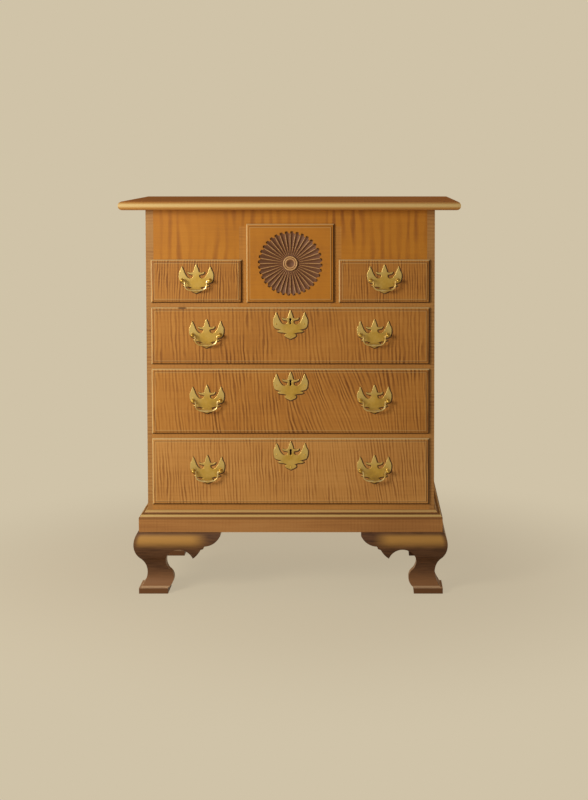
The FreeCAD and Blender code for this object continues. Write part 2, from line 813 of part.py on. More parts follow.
def bent_bail():
    """An eight-sided bar, bent down from the posts' eyes and round two lower corners."""
    drop = size("bail_drop")
    wide = size("bail_half")
    corner = size("bail_corner")
    elbow = size("bail_elbow")
    ease = corner * (1 - math.sqrt(0.5))
    right = [(size("pin_end"), 0), (wide + elbow, 0), (wide, -elbow), (wide, corner - drop),
             (wide - ease, ease - drop), (wide - corner, -drop)]
    run = right + [(-x, z) for x, z in reversed(right)]
    line = Part.makePolygon([Vector(x, size("pivot_y"), z) for x, z in run])
    ring = []
    for step in range(9):
        angle = math.pi * (2 * step + 1) / 8
        ring.append(Vector(run[0][0], size("pivot_y") + size("bar_radius") * math.cos(angle),
                           size("bar_radius") * math.sin(angle)))
    bail = doc.addObject("Part::Feature", "bent_bail")
    bail.Shape = line.makePipeShell([Part.makePolygon(ring)], True, False, 1)
    return bail


def copy_of(label, source, x, line):
    """A copy of a brass piece, moved from the middle of the front to its place on a drawer."""
    return bind(group(label, [source]), Placement__Base__x=x, Placement__Base__z=line)


def post_holes(name, middle, line):
    holes = []
    for hand in ("-", "+"):
        across = (f"{middle} {hand} post_half - shank_width / 2 - hole_play",
                  f"{middle} {hand} post_half + shank_width / 2 + hole_play")
        up = (f"{line} - shank_width / 2 - hole_play", f"{line} + shank_width / 2 + hole_play")
        holes.append(block(f"{name}_hole", across, ("field_face", "inset_back"), up))
    return holes


PLATE = handle_plate()
POSTS = {"+": cast_post()}
POSTS["-"] = mirrored("left_cast_post", POSTS["+"])
BAIL = bent_bail()


def handle(name, middle, line):
    """One handle: its plate, its two posts, and the bail as a node of its own."""
    node(f"{name}_bail", copy_of(f"{name}_bail_copy", BAIL, middle, line))
    pair = [copy_of(f"{name}_post", POSTS[hand], f"{middle} {hand} post_half", line) for hand in "-+"]
    return copy_of(f"{name}_plate_copy", PLATE, middle, line), pair


for name, middle in (("left_drawer", "-small_mid"), ("right_drawer", "small_mid")):
    line = "small_floor + small_open / 2 + handle_rise"
    drawer(name, middle, "small_floor", "small_width", "small_open", 2, post_holes(name, middle, line))
    plate, pair = handle(name, middle, line)
    node(f"{name}_plate", plate)
    node(f"{name}_posts", group(f"{name}_post_set", pair))

drawer("fan_drawer", "0", "small_floor", "fan_width", "fan_open", 4, [fan_carving()])

# Long drawers: two handles each, and a lock whose bolt rises into the rail above.

ESCUTCHEON = brass_plate("escutcheon_plate", plate_outline())
for name, floor, height in (("upper_drawer", "upper_floor", "upper_open"),
                            ("middle_drawer", "middle_floor", "middle_open"),
                            ("lower_drawer", "lower_floor", "lower_open")):
    line = f"{floor} + {height} / 2 + handle_rise"
    top = f"({floor} + {height} - top_gap)"
    key_middle = f"({floor} + {height} - key_drop)"
    lock_front = "inset_back - lock_deep"
    lock_blank = block(f"{name}_lock_blank", ("-lock_width / 2", "lock_width / 2"),
                       (lock_front, "inset_back"), (f"{top} - lock_height", top))
    chamber = block(f"{name}_bolt_chamber", ("-bolt_width / 2 - bolt_play", "bolt_width / 2 + bolt_play"),
                    ("lock_mid - bolt_thick / 2 - bolt_play", "lock_mid + bolt_thick / 2 + bolt_play"),
                    (f"{top} - bolt_tall - bolt_play", top))
    bolt = block(f"{name}_bolt", ("-bolt_width / 2", "bolt_width / 2"),
                 ("lock_mid - bolt_thick / 2", "lock_mid + bolt_thick / 2"), (f"{top} - bolt_tall", top))
    key_run = ("plate_face", f"{lock_front} + key_deep")
    key_slot = block(f"{name}_key_slot", ("-key_slot / 2", "key_slot / 2"), key_run,
                     (f"{key_middle} - key_height / 2", f"{key_middle} + key_height / 2 - key_round"))
    key_round = rod(f"{name}_key_round", "key_round", "0", key_run[0],
                    f"{key_middle} + key_height / 2 - key_round", between(key_run), "Y")
    keyhole = fuse(f"{name}_keyhole", [key_slot, key_round])
    sites = [(f"{name}_left", "-handle_x"), (f"{name}_right", "handle_x")]
    holes = [hole for site, middle in sites for hole in post_holes(site, middle, line)]
    drawer(name, "0", floor, "(2 * clear_half)", height, 3, [lock_blank, keyhole, *holes])
    plates = []
    posts_here = []
    for site, middle in sites:
        plate, pair = handle(site, middle, line)
        plates.append(plate)
        posts_here += pair
    blank = copy_of(f"{name}_escutcheon_blank", ESCUTCHEON, "0", f"{key_middle} - key_rise")
    plates.append(cut(f"{name}_escutcheon", blank, [keyhole]))
    node(f"{name}_plates", group(f"{name}_plate_set", plates))
    node(f"{name}_posts", group(f"{name}_post_set", posts_here))
    node(f"{name}_lock", cut(f"{name}_lock_case", lock_blank, [chamber, keyhole]))
    node(f"{name}_lock_bolt", bolt)

# Every piece has to be whole before anything is written.

doc.recompute()
failed = [item.Label for item in doc.Objects if {"Invalid", "Error"} & set(item.State)]
if failed:
    raise RuntimeError(f"failed objects: {failed}")
os.makedirs("parts", exist_ok=True)
for label, item in NODES.items():
    if item.Shape.isNull() or not item.Shape.isValid() or not item.Shape.Solids:
        raise RuntimeError(f"{label} has no valid solid")
    item.Shape.exportStep(f"parts/{label}.step")
    print(f"{label}: {len(item.Shape.Solids)} solids, {item.Shape.Volume / 1000:.1f} cm3")
print(f"{len(NODES)} nodes")
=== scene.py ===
# %% [markdown]
# # A curly maple chest of drawers
# The chest has a wide top, three short drawers over three long ones, a beaded base and four
# bracket feet. Its measured frame is already built to size, so this lesson only adds what the
# eye enjoys: figured wood, old brass, carving and light. The frame could be drawn again by
# hand, but loading it keeps every piece where the joints expect it.

# %% Load the measured frame
import bpy
import bmesh
import math
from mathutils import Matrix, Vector


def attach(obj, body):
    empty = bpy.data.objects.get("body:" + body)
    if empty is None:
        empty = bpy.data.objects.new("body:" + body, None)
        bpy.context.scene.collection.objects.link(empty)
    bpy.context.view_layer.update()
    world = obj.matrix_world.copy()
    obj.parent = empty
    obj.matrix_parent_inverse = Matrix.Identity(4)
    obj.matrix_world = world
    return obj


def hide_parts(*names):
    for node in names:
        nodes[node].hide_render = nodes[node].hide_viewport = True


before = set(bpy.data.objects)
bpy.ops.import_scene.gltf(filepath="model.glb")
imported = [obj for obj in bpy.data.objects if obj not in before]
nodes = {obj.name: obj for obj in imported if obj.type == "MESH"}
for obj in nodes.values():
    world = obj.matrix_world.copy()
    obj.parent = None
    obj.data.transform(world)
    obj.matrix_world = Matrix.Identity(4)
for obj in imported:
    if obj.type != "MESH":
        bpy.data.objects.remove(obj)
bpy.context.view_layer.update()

# %% [markdown]
# ## Colours and shader nodes
# Colours are picked from the eye's point of view, as sRGB hex values, while Blender mixes
# light in linear numbers. One function makes the change. A second one adds a shader node:
# what it is, which settings it has and what its sockets hold. Clicking nodes together by
# hand would give the same tree, but written down it can be read and used again. Most finishes
# share three more steps, so they are functions too: a new material, a ramp of several
# colours, and a surface whose gloss and bumps follow the same textures as its colour.

# %% Colours and nodes


def linear(hex_colour):
    """An sRGB hex colour as linear red, green, blue and full alpha."""
    shades = []
    for place in (1, 3, 5):
        share = int(hex_colour[place:place + 2], 16) / 255
        shades.append(share / 12.92 if share <= 0.04045 else ((share + 0.055) / 1.055) ** 2.4)
    return (*shades, 1.0)


def add(tree, kind, sockets=None, **settings):
    """Adds a node, gives it its settings, and fills or links its sockets."""
    node = tree.nodes.new(kind)
    for name, value in settings.items():
        setattr(node, name, value)
    for socket, value in (sockets or {}).items():
        if isinstance(value, bpy.types.NodeSocket):
            tree.links.new(value, node.inputs[socket])
        else:
            node.inputs[socket].default_value = value
    return node


print("amber as linear light:", [round(c, 3) for c in linear("#B07636")])

# %% Steps that finishes share
MM = 0.001
BUMP_HIGH_MM = 0.2  # unless a finish has its own


def new_finish(name):
    """A new material, its node tree and each point's place in the chest."""
    material = bpy.data.materials.new(name)
    material.use_nodes = True
    tree = material.node_tree
    place = add(tree, "ShaderNodeTexCoord").outputs["Object"]
    return material, tree, place


def spread_tones(ramp, tones, places):
    """Colours a ramp, each tone at its place between 0 and 1."""
    steps = ramp.color_ramp.elements
    while len(steps) < len(tones):
        steps.new(0.5)
    for step, tone, place in zip(steps, tones, places):
        step.position = place
        step.color = linear(tone)


def finish_surface(tree, ramp, dull_by, rough, span=(0.0, 1.0), bumps=None, strength=0.0,
                   high_mm=BUMP_HIGH_MM):
    """Gives a surface a ramp's colours, a roughness that follows one texture, and bumps from another."""
    surface = tree.nodes["Principled BSDF"]
    tree.links.new(ramp.outputs["Color"], surface.inputs["Base Color"])
    dull = add(tree, "ShaderNodeMapRange", {
        "Value": dull_by, "From Min": span[0], "From Max": span[1], "To Min": rough[0], "To Max": rough[1]})
    tree.links.new(dull.outputs[0], surface.inputs["Roughness"])
    if bumps is not None:
        bump = add(tree, "ShaderNodeBump", {"Strength": strength, "Distance": high_mm * MM, "Height": bumps})
        tree.links.new(bump.outputs[0], surface.inputs["Normal"])
    return surface


print("bumps in a finish, mm high:", BUMP_HIGH_MM)

# %% [markdown]
# ## Curly maple
# Maple whose fibres grew in waves shows stripes across the grain, like the back of a violin.
# On most drawer fronts the stripes stand 7 to 10 mm apart and nearly upright, and on some
# boards they lean over for a stretch. Shellac over old stain gives a warm amber with a low
# gloss. A photograph of a board would be quick, but it repeats and cannot be cut from any
# side. Noise stretched along and across the grain works inside the wood, so an edge and a
# face of one board agree. The fine pores are drawn 5 mm apart, coarser than real ones,
# because finer lines would vanish at the size of the picture.

# %% Stripes of the curl
STRIPES_A_PUSH = 2.2       # stripes over which the noise that pushes them changes
PUSH_TURN = 11.0           # how far it can push, in radians of a ripple
SWING_FADES = (0.02, 0.2)  # metres from the middle of a stretch that leans over


def grain_place(tree, along, over, deep, long_mm, wide_mm, deep_mm, seed=0.0):
    """Where a noise is read, so that its spots are this long, wide and deep in the wood."""
    spots = []
    for ruler, size_mm, start in ((along, long_mm, seed), (over, wide_mm, 0.0), (deep, deep_mm, 0.0)):
        spots.append(add(tree, "ShaderNodeMath", {0: ruler, 1: 1 / (size_mm * MM), 2: start},
                         operation="MULTIPLY_ADD").outputs[0])
    return add(tree, "ShaderNodeCombineXYZ", dict(enumerate(spots))).outputs[0]


def curl_stripes(tree, along, over, deep, seed, curl_mm=9.0, curl_long_mm=90.0, lean=0.0, swing=0.0,
                 swing_at=0.15, middle=0.5):
    """One ripple for each wave of the fibres, and the noise that pushes the ripples out of step."""
    # The stripes lean by a slope that can swing over for a stretch of the board.
    away = add(tree, "ShaderNodeMath", {0: along, 1: swing_at}, operation="SUBTRACT")
    away = add(tree, "ShaderNodeMath", {0: away.outputs[0]}, operation="ABSOLUTE")
    slope = add(tree, "ShaderNodeMapRange", {
        "Value": away.outputs[0], "From Min": SWING_FADES[0], "From Max": SWING_FADES[1],
        "To Min": lean + swing, "To Max": lean}, interpolation_type="SMOOTHSTEP")
    rise = add(tree, "ShaderNodeMath", {0: over, 1: middle}, operation="SUBTRACT")
    leaned = add(tree, "ShaderNodeMath", {0: slope.outputs[0], 1: rise.outputs[0], 2: along},
                 operation="MULTIPLY_ADD").outputs[0]

    # The noise is short along the grain and long across it.
    push_at = grain_place(tree, leaned, over, deep, STRIPES_A_PUSH * curl_mm, curl_long_mm, curl_long_mm,
                          seed)
    push = add(tree, "ShaderNodeTexNoise", {"Vector": push_at, "Scale": 1.0, "Detail": 2.5})
    turn = add(tree, "ShaderNodeMath", {0: leaned, 1: 2 * math.pi / (curl_mm * MM)}, operation="MULTIPLY")
    turn = add(tree, "ShaderNodeMath", {0: push.outputs["Fac"], 1: PUSH_TURN, 2: turn.outputs[0]},
               operation="MULTIPLY_ADD")
    ripple = add(tree, "ShaderNodeMath", {0: turn.outputs[0]}, operation="SINE")
    return ripple.outputs[0], push


print("noise can push a stripe by", round(PUSH_TURN / (2 * math.pi), 2), "stripes")

# %% Curly maple under shellac
PORE_MM = 5.0
STREAK_MM = 260.0
CREST = 0.35                      # where a ripple's pale crest is cut flat
CLOUDS_A_METRE = (5.0, 5.0, 9.0)  # clouds of stain, 110 to 200 mm across


def curly_maple(name, tones, grain="X", across="Z", seed=0.0, curl=0.5, streak=0.25, cloud=0.45, **stripes):
    """Boards in tones from dark to light; curl, streak and cloud say how strongly each of them shows."""
    material, tree, place = new_finish(name)
    axes = add(tree, "ShaderNodeSeparateXYZ", {0: place}).outputs
    depth = ({"X", "Y", "Z"} - {grain, across}).pop()
    along, over, deep = axes[grain], axes[across], axes[depth]
    ripple, push = curl_stripes(tree, along, over, deep, seed, **stripes)
    figure = add(tree, "ShaderNodeMapRange", {
        "Value": ripple, "From Min": -1.0, "From Max": CREST, "To Min": -curl, "To Max": curl * CREST})

    # Pores and streaks run with the grain, clouds of stain lie over both.
    pore_at = grain_place(tree, along, over, deep, STREAK_MM, PORE_MM, PORE_MM, seed)
    pores = add(tree, "ShaderNodeTexNoise", {"Vector": pore_at, "Scale": 1.0, "Detail": 3.0}).outputs["Fac"]
    cloud_at = add(tree, "ShaderNodeVectorMath", {0: place, 1: CLOUDS_A_METRE, 2: (seed, seed, 0.0)},
                   operation="MULTIPLY_ADD")
    clouds = add(tree, "ShaderNodeTexNoise", {"Vector": cloud_at.outputs[0], "Scale": 1.0, "Detail": 2.0})
    clouds = clouds.outputs["Fac"]

    # The figure fades in and out, both in slow clouds and from one ripple to the next.
    strength = add(tree, "ShaderNodeMapRange", {
        "Value": clouds, "From Min": 0.36, "From Max": 0.62, "To Min": 1.0, "To Max": 0.55})
    patchy = add(tree, "ShaderNodeMapRange", {
        "Value": push.outputs["Color"], "From Min": 0.4, "From Max": 0.6, "To Min": 0.05, "To Max": 1.15})
    strength = add(tree, "ShaderNodeMath", {0: strength.outputs[0], 1: patchy.outputs[0]},
                   operation="MULTIPLY")
    tone = 0.5 - streak / 2 - cloud / 2
    for pattern, share in ((figure.outputs[0], strength.outputs[0]), (pores, streak), (clouds, cloud)):
        tone = add(tree, "ShaderNodeMath", {0: pattern, 1: share, 2: tone}, operation="MULTIPLY_ADD")
        tone = tone.outputs[0]
    ramp = add(tree, "ShaderNodeValToRGB", {0: tone})
    spread_tones(ramp, tones, [count / (len(tones) - 1) for count in range(len(tones))])

    # Old shellac: a soft gloss, which varies a little with the pores.
    surface = finish_surface(tree, ramp, pores, (0.52, 0.4), bumps=tone, strength=0.25)
    surface.inputs["IOR"].default_value = 1.5
    surface.inputs["Specular IOR Level"].default_value = 0.3
    return material


print("pores and streaks in mm:", PORE_MM, STREAK_MM)

# %% Wood of the drawer fronts
AMBER = ("#784615", "#955F25", "#AE732E", "#C1873E", "#D29F56")
GOLDEN = ("#875018", "#A0631E", "#B67520", "#C6852A", "#D39940")
PALE_AMBER = ("#805020", "#A06A30", "#BC8441", "#CD9753", "#DBAC6C")
drawer_maple = {}
for board, tones, seed, curl_mm, lean, swing, swing_at, middle, curl in (
        ("left_drawer", AMBER, 3.1, 7.0, -0.03, 0.0, 0.0, 0.83, 0.55),
        ("right_drawer", AMBER, 7.7, 7.0, 0.02, 0.0, 0.27, 0.83, 0.45),
        ("fan_drawer", GOLDEN, 21.4, 30.0, 0.0, 0.0, 0.0, 0.877, 0.05),
        ("upper_drawer", AMBER, 11.9, 10.0, 0.03, 0.06, 0.1, 0.685, 0.45),
        ("middle_drawer", AMBER, 31.3, 9.0, 0.06, 0.34, 0.12, 0.51, 0.5),
        ("lower_drawer", PALE_AMBER, 43.6, 8.0, 0.04, 0.1, 0.2, 0.325, 0.36)):
    drawer_maple[board] = curly_maple(
        f"shellacked_curly_maple_{board}", tones, seed=seed, curl=curl, streak=0.18, curl_mm=curl_mm,
        lean=lean, swing=swing, swing_at=swing_at, middle=middle)
print("curly maple boards:", len(drawer_maple))

# %% [markdown]
# ## Lips: painted highlight and shade
# Each front overlaps its opening with a rounded lip, and a raised field starts about 8 mm
# inside the lip's edge. The upper and left rounds are painted pale, a painted highlight, and
# the lower and right rounds are painted dark, a painted shade. A dark line runs in the corner
# where the field begins, with a pale line beside it. A brush on the mesh could paint them, but
# all four follow the drawer's edge, so the shader measures the distance to the edge and
# colours four bands of it.

# %% Bands of another colour


def over_paint(material, mask, shade):
    """Lets another colour show where a mask is 1, over the colour so far: stains, wear, painted highlight
    and painted shade.
    """
    tree = material.node_tree
    colour = tree.nodes["Principled BSDF"].inputs["Base Color"]
    mixed = add(tree, "ShaderNodeMix", {0: mask, 6: colour.links[0].from_socket, 7: linear(shade)},
                data_type="RGBA")
    tree.links.new(mixed.outputs[2], colour)


def band_mask(tree, ruler, middle_mm, half_mm, soft_mm, share, bend="LINEAR"):
    """A mask that has its full share near the middle and fades over a soft border at half_mm from it."""
    off = add(tree, "ShaderNodeMath", {0: ruler, 1: middle_mm * MM}, operation="SUBTRACT")
    off = add(tree, "ShaderNodeMath", {0: off.outputs[0]}, operation="ABSOLUTE")
    return add(tree, "ShaderNodeMapRange", {
        "Value": off.outputs[0], "From Min": (half_mm - soft_mm) * MM, "From Max": (half_mm + soft_mm) * MM,
        "To Min": share, "To Max": 0.0}, interpolation_type=bend).outputs[0]


print("fronts whose lips are coloured:", len(drawer_maple))

# %% Lips: painted highlight and shade, and lines by the field
LIP_BANDS = (  # which edges, the band's middle and half width in mm from them, its strength and colour
    ("shaded_edges", 1.2, 2.0, 0.85, "#40290F"), ("all", 7.2, 1.0, 0.5, "#6A4620"),
    ("highlit_edges", 1.2, 1.4, 0.7, "#D8BE84"), ("all", 9.4, 0.8, 0.32, "#D2B478"))
LIP_SOFT_MM = 0.5
for board, maple in drawer_maple.items():
    corners = [corner.co for corner in nodes[f"{board}_front"].data.vertices]
    tree = maple.node_tree
    place = add(tree, "ShaderNodeTexCoord").outputs["Object"]
    axes = add(tree, "ShaderNodeSeparateXYZ", {0: place}).outputs
    walks = ((axes["X"], min(co.x for co in corners)), (max(co.x for co in corners), axes["X"]),
             (axes["Z"], min(co.z for co in corners)), (max(co.z for co in corners), axes["Z"]))
    left, right, low, high = [
        add(tree, "ShaderNodeMath", {0: far_end, 1: near_end}, operation="SUBTRACT").outputs[0]
        for far_end, near_end in walks]
    # Upper and left edges get a painted highlight, lower and right edges a painted shade.
    highlit_edges = add(tree, "ShaderNodeMath", {0: left, 1: high}, operation="MINIMUM").outputs[0]
    shaded_edges = add(tree, "ShaderNodeMath", {0: right, 1: low}, operation="MINIMUM").outputs[0]
    edge = add(tree, "ShaderNodeMath", {0: highlit_edges, 1: shaded_edges}, operation="MINIMUM").outputs[0]
    rulers = {"highlit_edges": highlit_edges, "shaded_edges": shaded_edges, "all": edge}
    for edges, middle_mm, half_mm, share, shade in LIP_BANDS:
        line = band_mask(tree, rulers[edges], middle_mm, half_mm, LIP_SOFT_MM, share)
        over_paint(maple, line, shade)
print("lips with", len(LIP_BANDS), "bands:", list(drawer_maple))

# %% Scar on the upper drawer's lip
SCAR_MIDDLE = (-0.285, 0.0, 0.759)
SCAR_SPREAD = (1 / (12 * MM), 0.0, 1 / (3.5 * MM))

# A splinter has gone from the top lip, left of the middle, and the scar turned dark.
tree = drawer_maple["upper_drawer"].node_tree
place = add(tree, "ShaderNodeTexCoord").outputs["Object"]
off_scar = add(tree, "ShaderNodeVectorMath", {0: place, 1: SCAR_MIDDLE}, operation="SUBTRACT")
off_scar = add(tree, "ShaderNodeVectorMath", {0: off_scar.outputs[0], 1: SCAR_SPREAD}, operation="MULTIPLY")
off_scar = add(tree, "ShaderNodeVectorMath", {0: off_scar.outputs[0]}, operation="LENGTH")
scar = add(tree, "ShaderNodeMapRange", {
    "Value": off_scar.outputs["Value"], "From Min": 0.7, "From Max": 1.1, "To Min": 0.8, "To Max": 0.0})
over_paint(drawer_maple["upper_drawer"], scar.outputs[0], "#5E3D1E")
print("scar at", SCAR_MIDDLE)

# %% [markdown]
# ## The case boards
# The frieze and the frame round the drawers are plainer maple, more golden above and browner
# in the rails. The sides have upright grain, so their stripes lie level. The top is browner.
# Each could be a finish of its own making, but one recipe with other tones keeps the chest
# one family.

# %% Case maple
BROWN = ("#784C26", "#925F2E", "#A8733C", "#B8854C", "#C6965C")
RAIL_TONES = ("#845424", "#9E6830", "#B47C3A", "#C48C48", "#D09E5A")
SIDE_TONES = ("#7C4E22", "#926130", "#A8783F", "#B98A4E", "#C79C60")
POST_TONES = ("#865220", "#9F6628", "#B57930", "#C5893C", "#D29C4E")
TOP_TONES = ("#764522", "#925628", "#AC6C34", "#BC803E", "#CA924E")
frieze_maple = curly_maple("shellacked_maple_frieze", GOLDEN, seed=52.0, curl=0.3, streak=0.18, cloud=0.5,
                           curl_mm=24.0, curl_long_mm=200.0)
rail_maple = curly_maple("shellacked_maple_rails", RAIL_TONES, seed=61.0, curl=0.1)
side_maple = curly_maple("shellacked_curly_maple_sides", SIDE_TONES, "Z", "Y", seed=72.0, curl=0.22)
post_maple = curly_maple("shellacked_maple_posts", POST_TONES, "Z", "X", seed=77.0, curl=0.1)
top_maple = curly_maple("waxed_maple_top", TOP_TONES, "X", "Y", seed=83.0, curl=0.14)
base_maple = curly_maple("shellacked_maple_base", BROWN, seed=91.0, curl=0.06, streak=0.5)
base_side_maple = curly_maple("shellacked_maple_base_sides", BROWN, "Y", seed=93.0, curl=0.06, streak=0.5)
print("case boards:", [m.name for m in bpy.data.materials if "maple" in m.name and "drawer" not in m.name])

# %% [markdown]
# ## Mouldings: painted highlights
# The round edge of the top is golden, with a painted highlight along its middle, and each of
# the two beads of the base has a painted highlight. Dark lines run in the grooves under the
# beads. Each could be a strip of faces with its own material, but all run level round the
# chest, so bands of height in one material place them on the front and the sides alike.

# %% Pale rounds and dark grooves


def level_band(material, low_mm, high_mm, soft_mm, share, shade):
    """Colours a board between two heights, with soft borders."""
    tree = material.node_tree
    place = add(tree, "ShaderNodeTexCoord").outputs["Object"]
    up = add(tree, "ShaderNodeSeparateXYZ", {0: place}).outputs["Z"]
    middle_mm, half_mm = (low_mm + high_mm) / 2, (high_mm - low_mm) / 2
    over_paint(material, band_mask(tree, up, middle_mm, half_mm, soft_mm, share, "SMOOTHSTEP"), shade)


# The top's round edge is golden, and its middle gets a painted highlight.
level_band(top_maple, 1019.5, 1039.0, 1.5, 0.8, "#B98540")
level_band(top_maple, 1026.0, 1035.0, 3.0, 0.8, "#D9BC7C")
for moulding in (base_maple, base_side_maple):
    # A dark line under each bead, and a painted highlight on each bead.
    level_band(moulding, 199.0, 204.0, 1.0, 0.55, "#6B4522")
    level_band(moulding, 206.0, 210.5, 1.2, 0.75, "#CDB16C")
    level_band(moulding, 211.0, 214.5, 0.8, 0.7, "#59391B")
    level_band(moulding, 216.0, 220.5, 1.2, 0.7, "#C9A866")
print("bands on", top_maple.name, "and the base")

# %% [markdown]
# ## Stage, light and camera
# The chest stands on a sheet of old drawing paper. One soft lamp stands in front at the left, a
# little higher than the top. A plain sky fills the shadows, and a brown room behind the chest
# gives the top warm reflections. A curved backdrop would hide the horizon, but only from one
# side. Here the floor keeps the shadow near the feet and fades to plain paper farther off.
# The camera stands where the picture was seen from: a little right of the middle and just
# above the top.

# %% Floor
FLOOR_RADIUS = 14.0
floor_mesh = bpy.data.meshes.new("paper_floor")
floor_work = bmesh.new()
bmesh.ops.create_circle(floor_work, cap_ends=True, segments=96, radius=FLOOR_RADIUS)
floor_work.to_mesh(floor_mesh)
floor_work.free()
floor = bpy.data.objects.new("paper_floor", floor_mesh)
bpy.context.scene.collection.objects.link(floor)
print("floor radius in metres:", FLOOR_RADIUS)

# %% Drawing paper
PAPER = "#D0C3A8"
SHADOW_FADES = (0.45, 1.3)  # metres from the chest's middle
PLAIN_BY_CHEST = 0.72       # share of plain paper under and next to the chest

# Drawing paper scatters light evenly and has almost no gloss.
paper, tree, spot = new_finish("matt_drawing_paper")
sheet = tree.nodes["Principled BSDF"]
sheet.inputs["Base Color"].default_value = linear(PAPER)
sheet.inputs["Roughness"].default_value = 0.95
sheet.inputs["Specular IOR Level"].default_value = 0.1
reach = add(tree, "ShaderNodeVectorMath", {0: spot}, operation="LENGTH")
far = add(tree, "ShaderNodeMapRange", {
    "Value": reach.outputs["Value"], "From Min": SHADOW_FADES[0], "From Max": SHADOW_FADES[1],
    "To Min": PLAIN_BY_CHEST}, interpolation_type="SMOOTHSTEP")
ray = add(tree, "ShaderNodeLightPath").outputs
seen = add(tree, "ShaderNodeMath", {0: ray["Is Camera Ray"], 1: ray["Is Glossy Ray"]},
           operation="ADD", use_clamp=True)
seen = add(tree, "ShaderNodeMath", {0: seen.outputs[0], 1: ray["Is Transmission Ray"]},
           operation="ADD", use_clamp=True)
plain = add(tree, "ShaderNodeMath", {0: far.outputs[0], 1: seen.outputs[0]}, operation="MULTIPLY")
even = add(tree, "ShaderNodeEmission", {"Color": linear(PAPER), "Strength": 1.0})
both = add(tree, "ShaderNodeMixShader", {0: plain.outputs[0], 1: sheet.outputs[0], 2: even.outputs[0]})
tree.links.new(both.outputs[0], tree.nodes["Material Output"].inputs["Surface"])
floor_mesh.materials.append(paper)
print("the shadow fades out from", SHADOW_FADES[0], "to", SHADOW_FADES[1], "metres")

# %% Plain sky and brown room
SKY = (1.0, 0.95, 0.9, 1.0)
ROOM = (1.4, 0.58, 0.14, 1.0)
SKY_STRENGTH = 0.3
world = bpy.data.worlds.new("plain_sky")
bpy.context.scene.world = world
world.use_nodes = True
tree = world.node_tree
toward = add(tree, "ShaderNodeTexCoord").outputs["Generated"]
toward = add(tree, "ShaderNodeSeparateXYZ", {0: toward}).outputs
behind = add(tree, "ShaderNodeMapRange", {"Value": toward["Y"], "From Min": 0.3, "From Max": 0.8},
             interpolation_type="SMOOTHSTEP")
room = add(tree, "ShaderNodeMix", {0: behind.outputs[0], 6: SKY, 7: ROOM}, data_type="RGBA")
sky = add(tree, "ShaderNodeBackground", {"Color": room.outputs[2], "Strength": SKY_STRENGTH})
back = add(tree, "ShaderNodeBackground", {"Color": linear(PAPER), "Strength": 1.0})
straight = add(tree, "ShaderNodeLightPath").outputs["Is Camera Ray"]
both = add(tree, "ShaderNodeMixShader", {0: straight, 1: sky.outputs[0], 2: back.outputs[0]})
tree.links.new(both.outputs[0], tree.nodes["World Output"].inputs["Surface"])
print("sky strength:", SKY_STRENGTH)

# %% Lamp
LAMP_AIM = Vector((0.0, -0.2, 0.55))
lamp_data = bpy.data.lights.new("soft_lamp", "AREA")
lamp_data.shape = "DISK"
lamp_data.size = 0.9
lamp_data.energy = 34.0
lamp_data.color = (1.0, 0.97, 0.92)
lamp = bpy.data.objects.new("soft_lamp", lamp_data)
lamp.location = (-1.45, -1.6, 1.25)
lamp.rotation_euler = (LAMP_AIM - lamp.location).to_track_quat("-Z", "Y").to_euler()
bpy.context.scene.collection.objects.link(lamp)
print("lamp", tuple(lamp.location), "watts", lamp_data.energy)

# %% Camera
CAMERA_DOWN = 3.73  # degrees below level
camera_data = bpy.data.cameras.new("picture_camera")
camera_data.sensor_width = 36.0
camera_data.lens = 68.59
camera_data.shift_x = -0.08
camera_data.shift_y = -0.18
camera = bpy.data.objects.new("picture_camera", camera_data)
camera.location = (0.178, -4.205, 1.157)
camera.rotation_euler = (math.radians(90 - CAMERA_DOWN), 0.0, 0.0)
bpy.context.scene.collection.objects.link(camera)
bpy.context.scene.camera = camera
bpy.context.scene.view_settings.view_transform = "Standard"
print("camera", tuple(camera.location), "lens", camera_data.lens)

# %% [markdown]
# ## Wood for each board
# The frame's boards keep their own shape and only change their finish. A finish sits in a
# material slot of the piece. Dragging materials onto sixty pieces by hand would work as well,
# but one function that fills the slots of the pieces it is given is quicker to check.

# %% Give each board its wood


def finish_with(names, material):
    """Puts one finish on the named nodes."""
    for name in names:
        for place in nodes[name].material_slots:
            place.material = material


for board, wood in drawer_maple.items():
    finish_with([f"{board}_front"], wood)
finish_with(["frieze_board"], frieze_maple)
finish_with(["drawer_rails"], rail_maple)
finish_with(["left_side", "right_side"], side_maple)
finish_with(["drawer_posts"], post_maple)
finish_with(["top_board"], top_maple)
finish_with(["front_base_moulding"], base_maple)
finish_with(["side_base_mouldings"], base_side_maple)
print("fronts with their own wood:", len(drawer_maple))

# %% [markdown]
# ## Dark stained feet
# The feet are stained much darker than the case, a stain that also paints in the shade below
# the knees. The round of each knee is painted golden, a painted highlight that stops short of
# the mitred corner. The toes and the sawn inner edges are painted paler, painted highlights,
# and a pale band runs just above the pads. Painting these by hand on the mesh is one way.
# Here heights and surface directions choose the places, so all the brackets match.

# %% Stained maple for the feet
FOOT_STREAKS_A_METRE = (22.0, 22.0, 240.0)  # level streaks about 45 mm long and 4 mm high
stained, tree, place = new_finish("stained_maple_feet")
streak_at = add(tree, "ShaderNodeVectorMath", {0: place, 1: FOOT_STREAKS_A_METRE}, operation="MULTIPLY")
streaks = add(tree, "ShaderNodeTexNoise", {"Vector": streak_at.outputs[0], "Scale": 1.0, "Detail": 3.0})
streaks = streaks.outputs["Fac"]
ramp = add(tree, "ShaderNodeValToRGB", {0: streaks})
spread_tones(ramp, ("#4A3120", "#6C4A30"), (0.25, 0.75))
surface = finish_surface(tree, ramp, streaks, (0.52, 0.36), bumps=streaks, strength=0.2)
surface.inputs["IOR"].default_value = 1.5
surface.inputs["Specular IOR Level"].default_value = 0.15
finish_with(["front_left_foot", "front_right_foot", "rear_feet", "foot_pads"], stained)
print("stained feet:", stained.name)
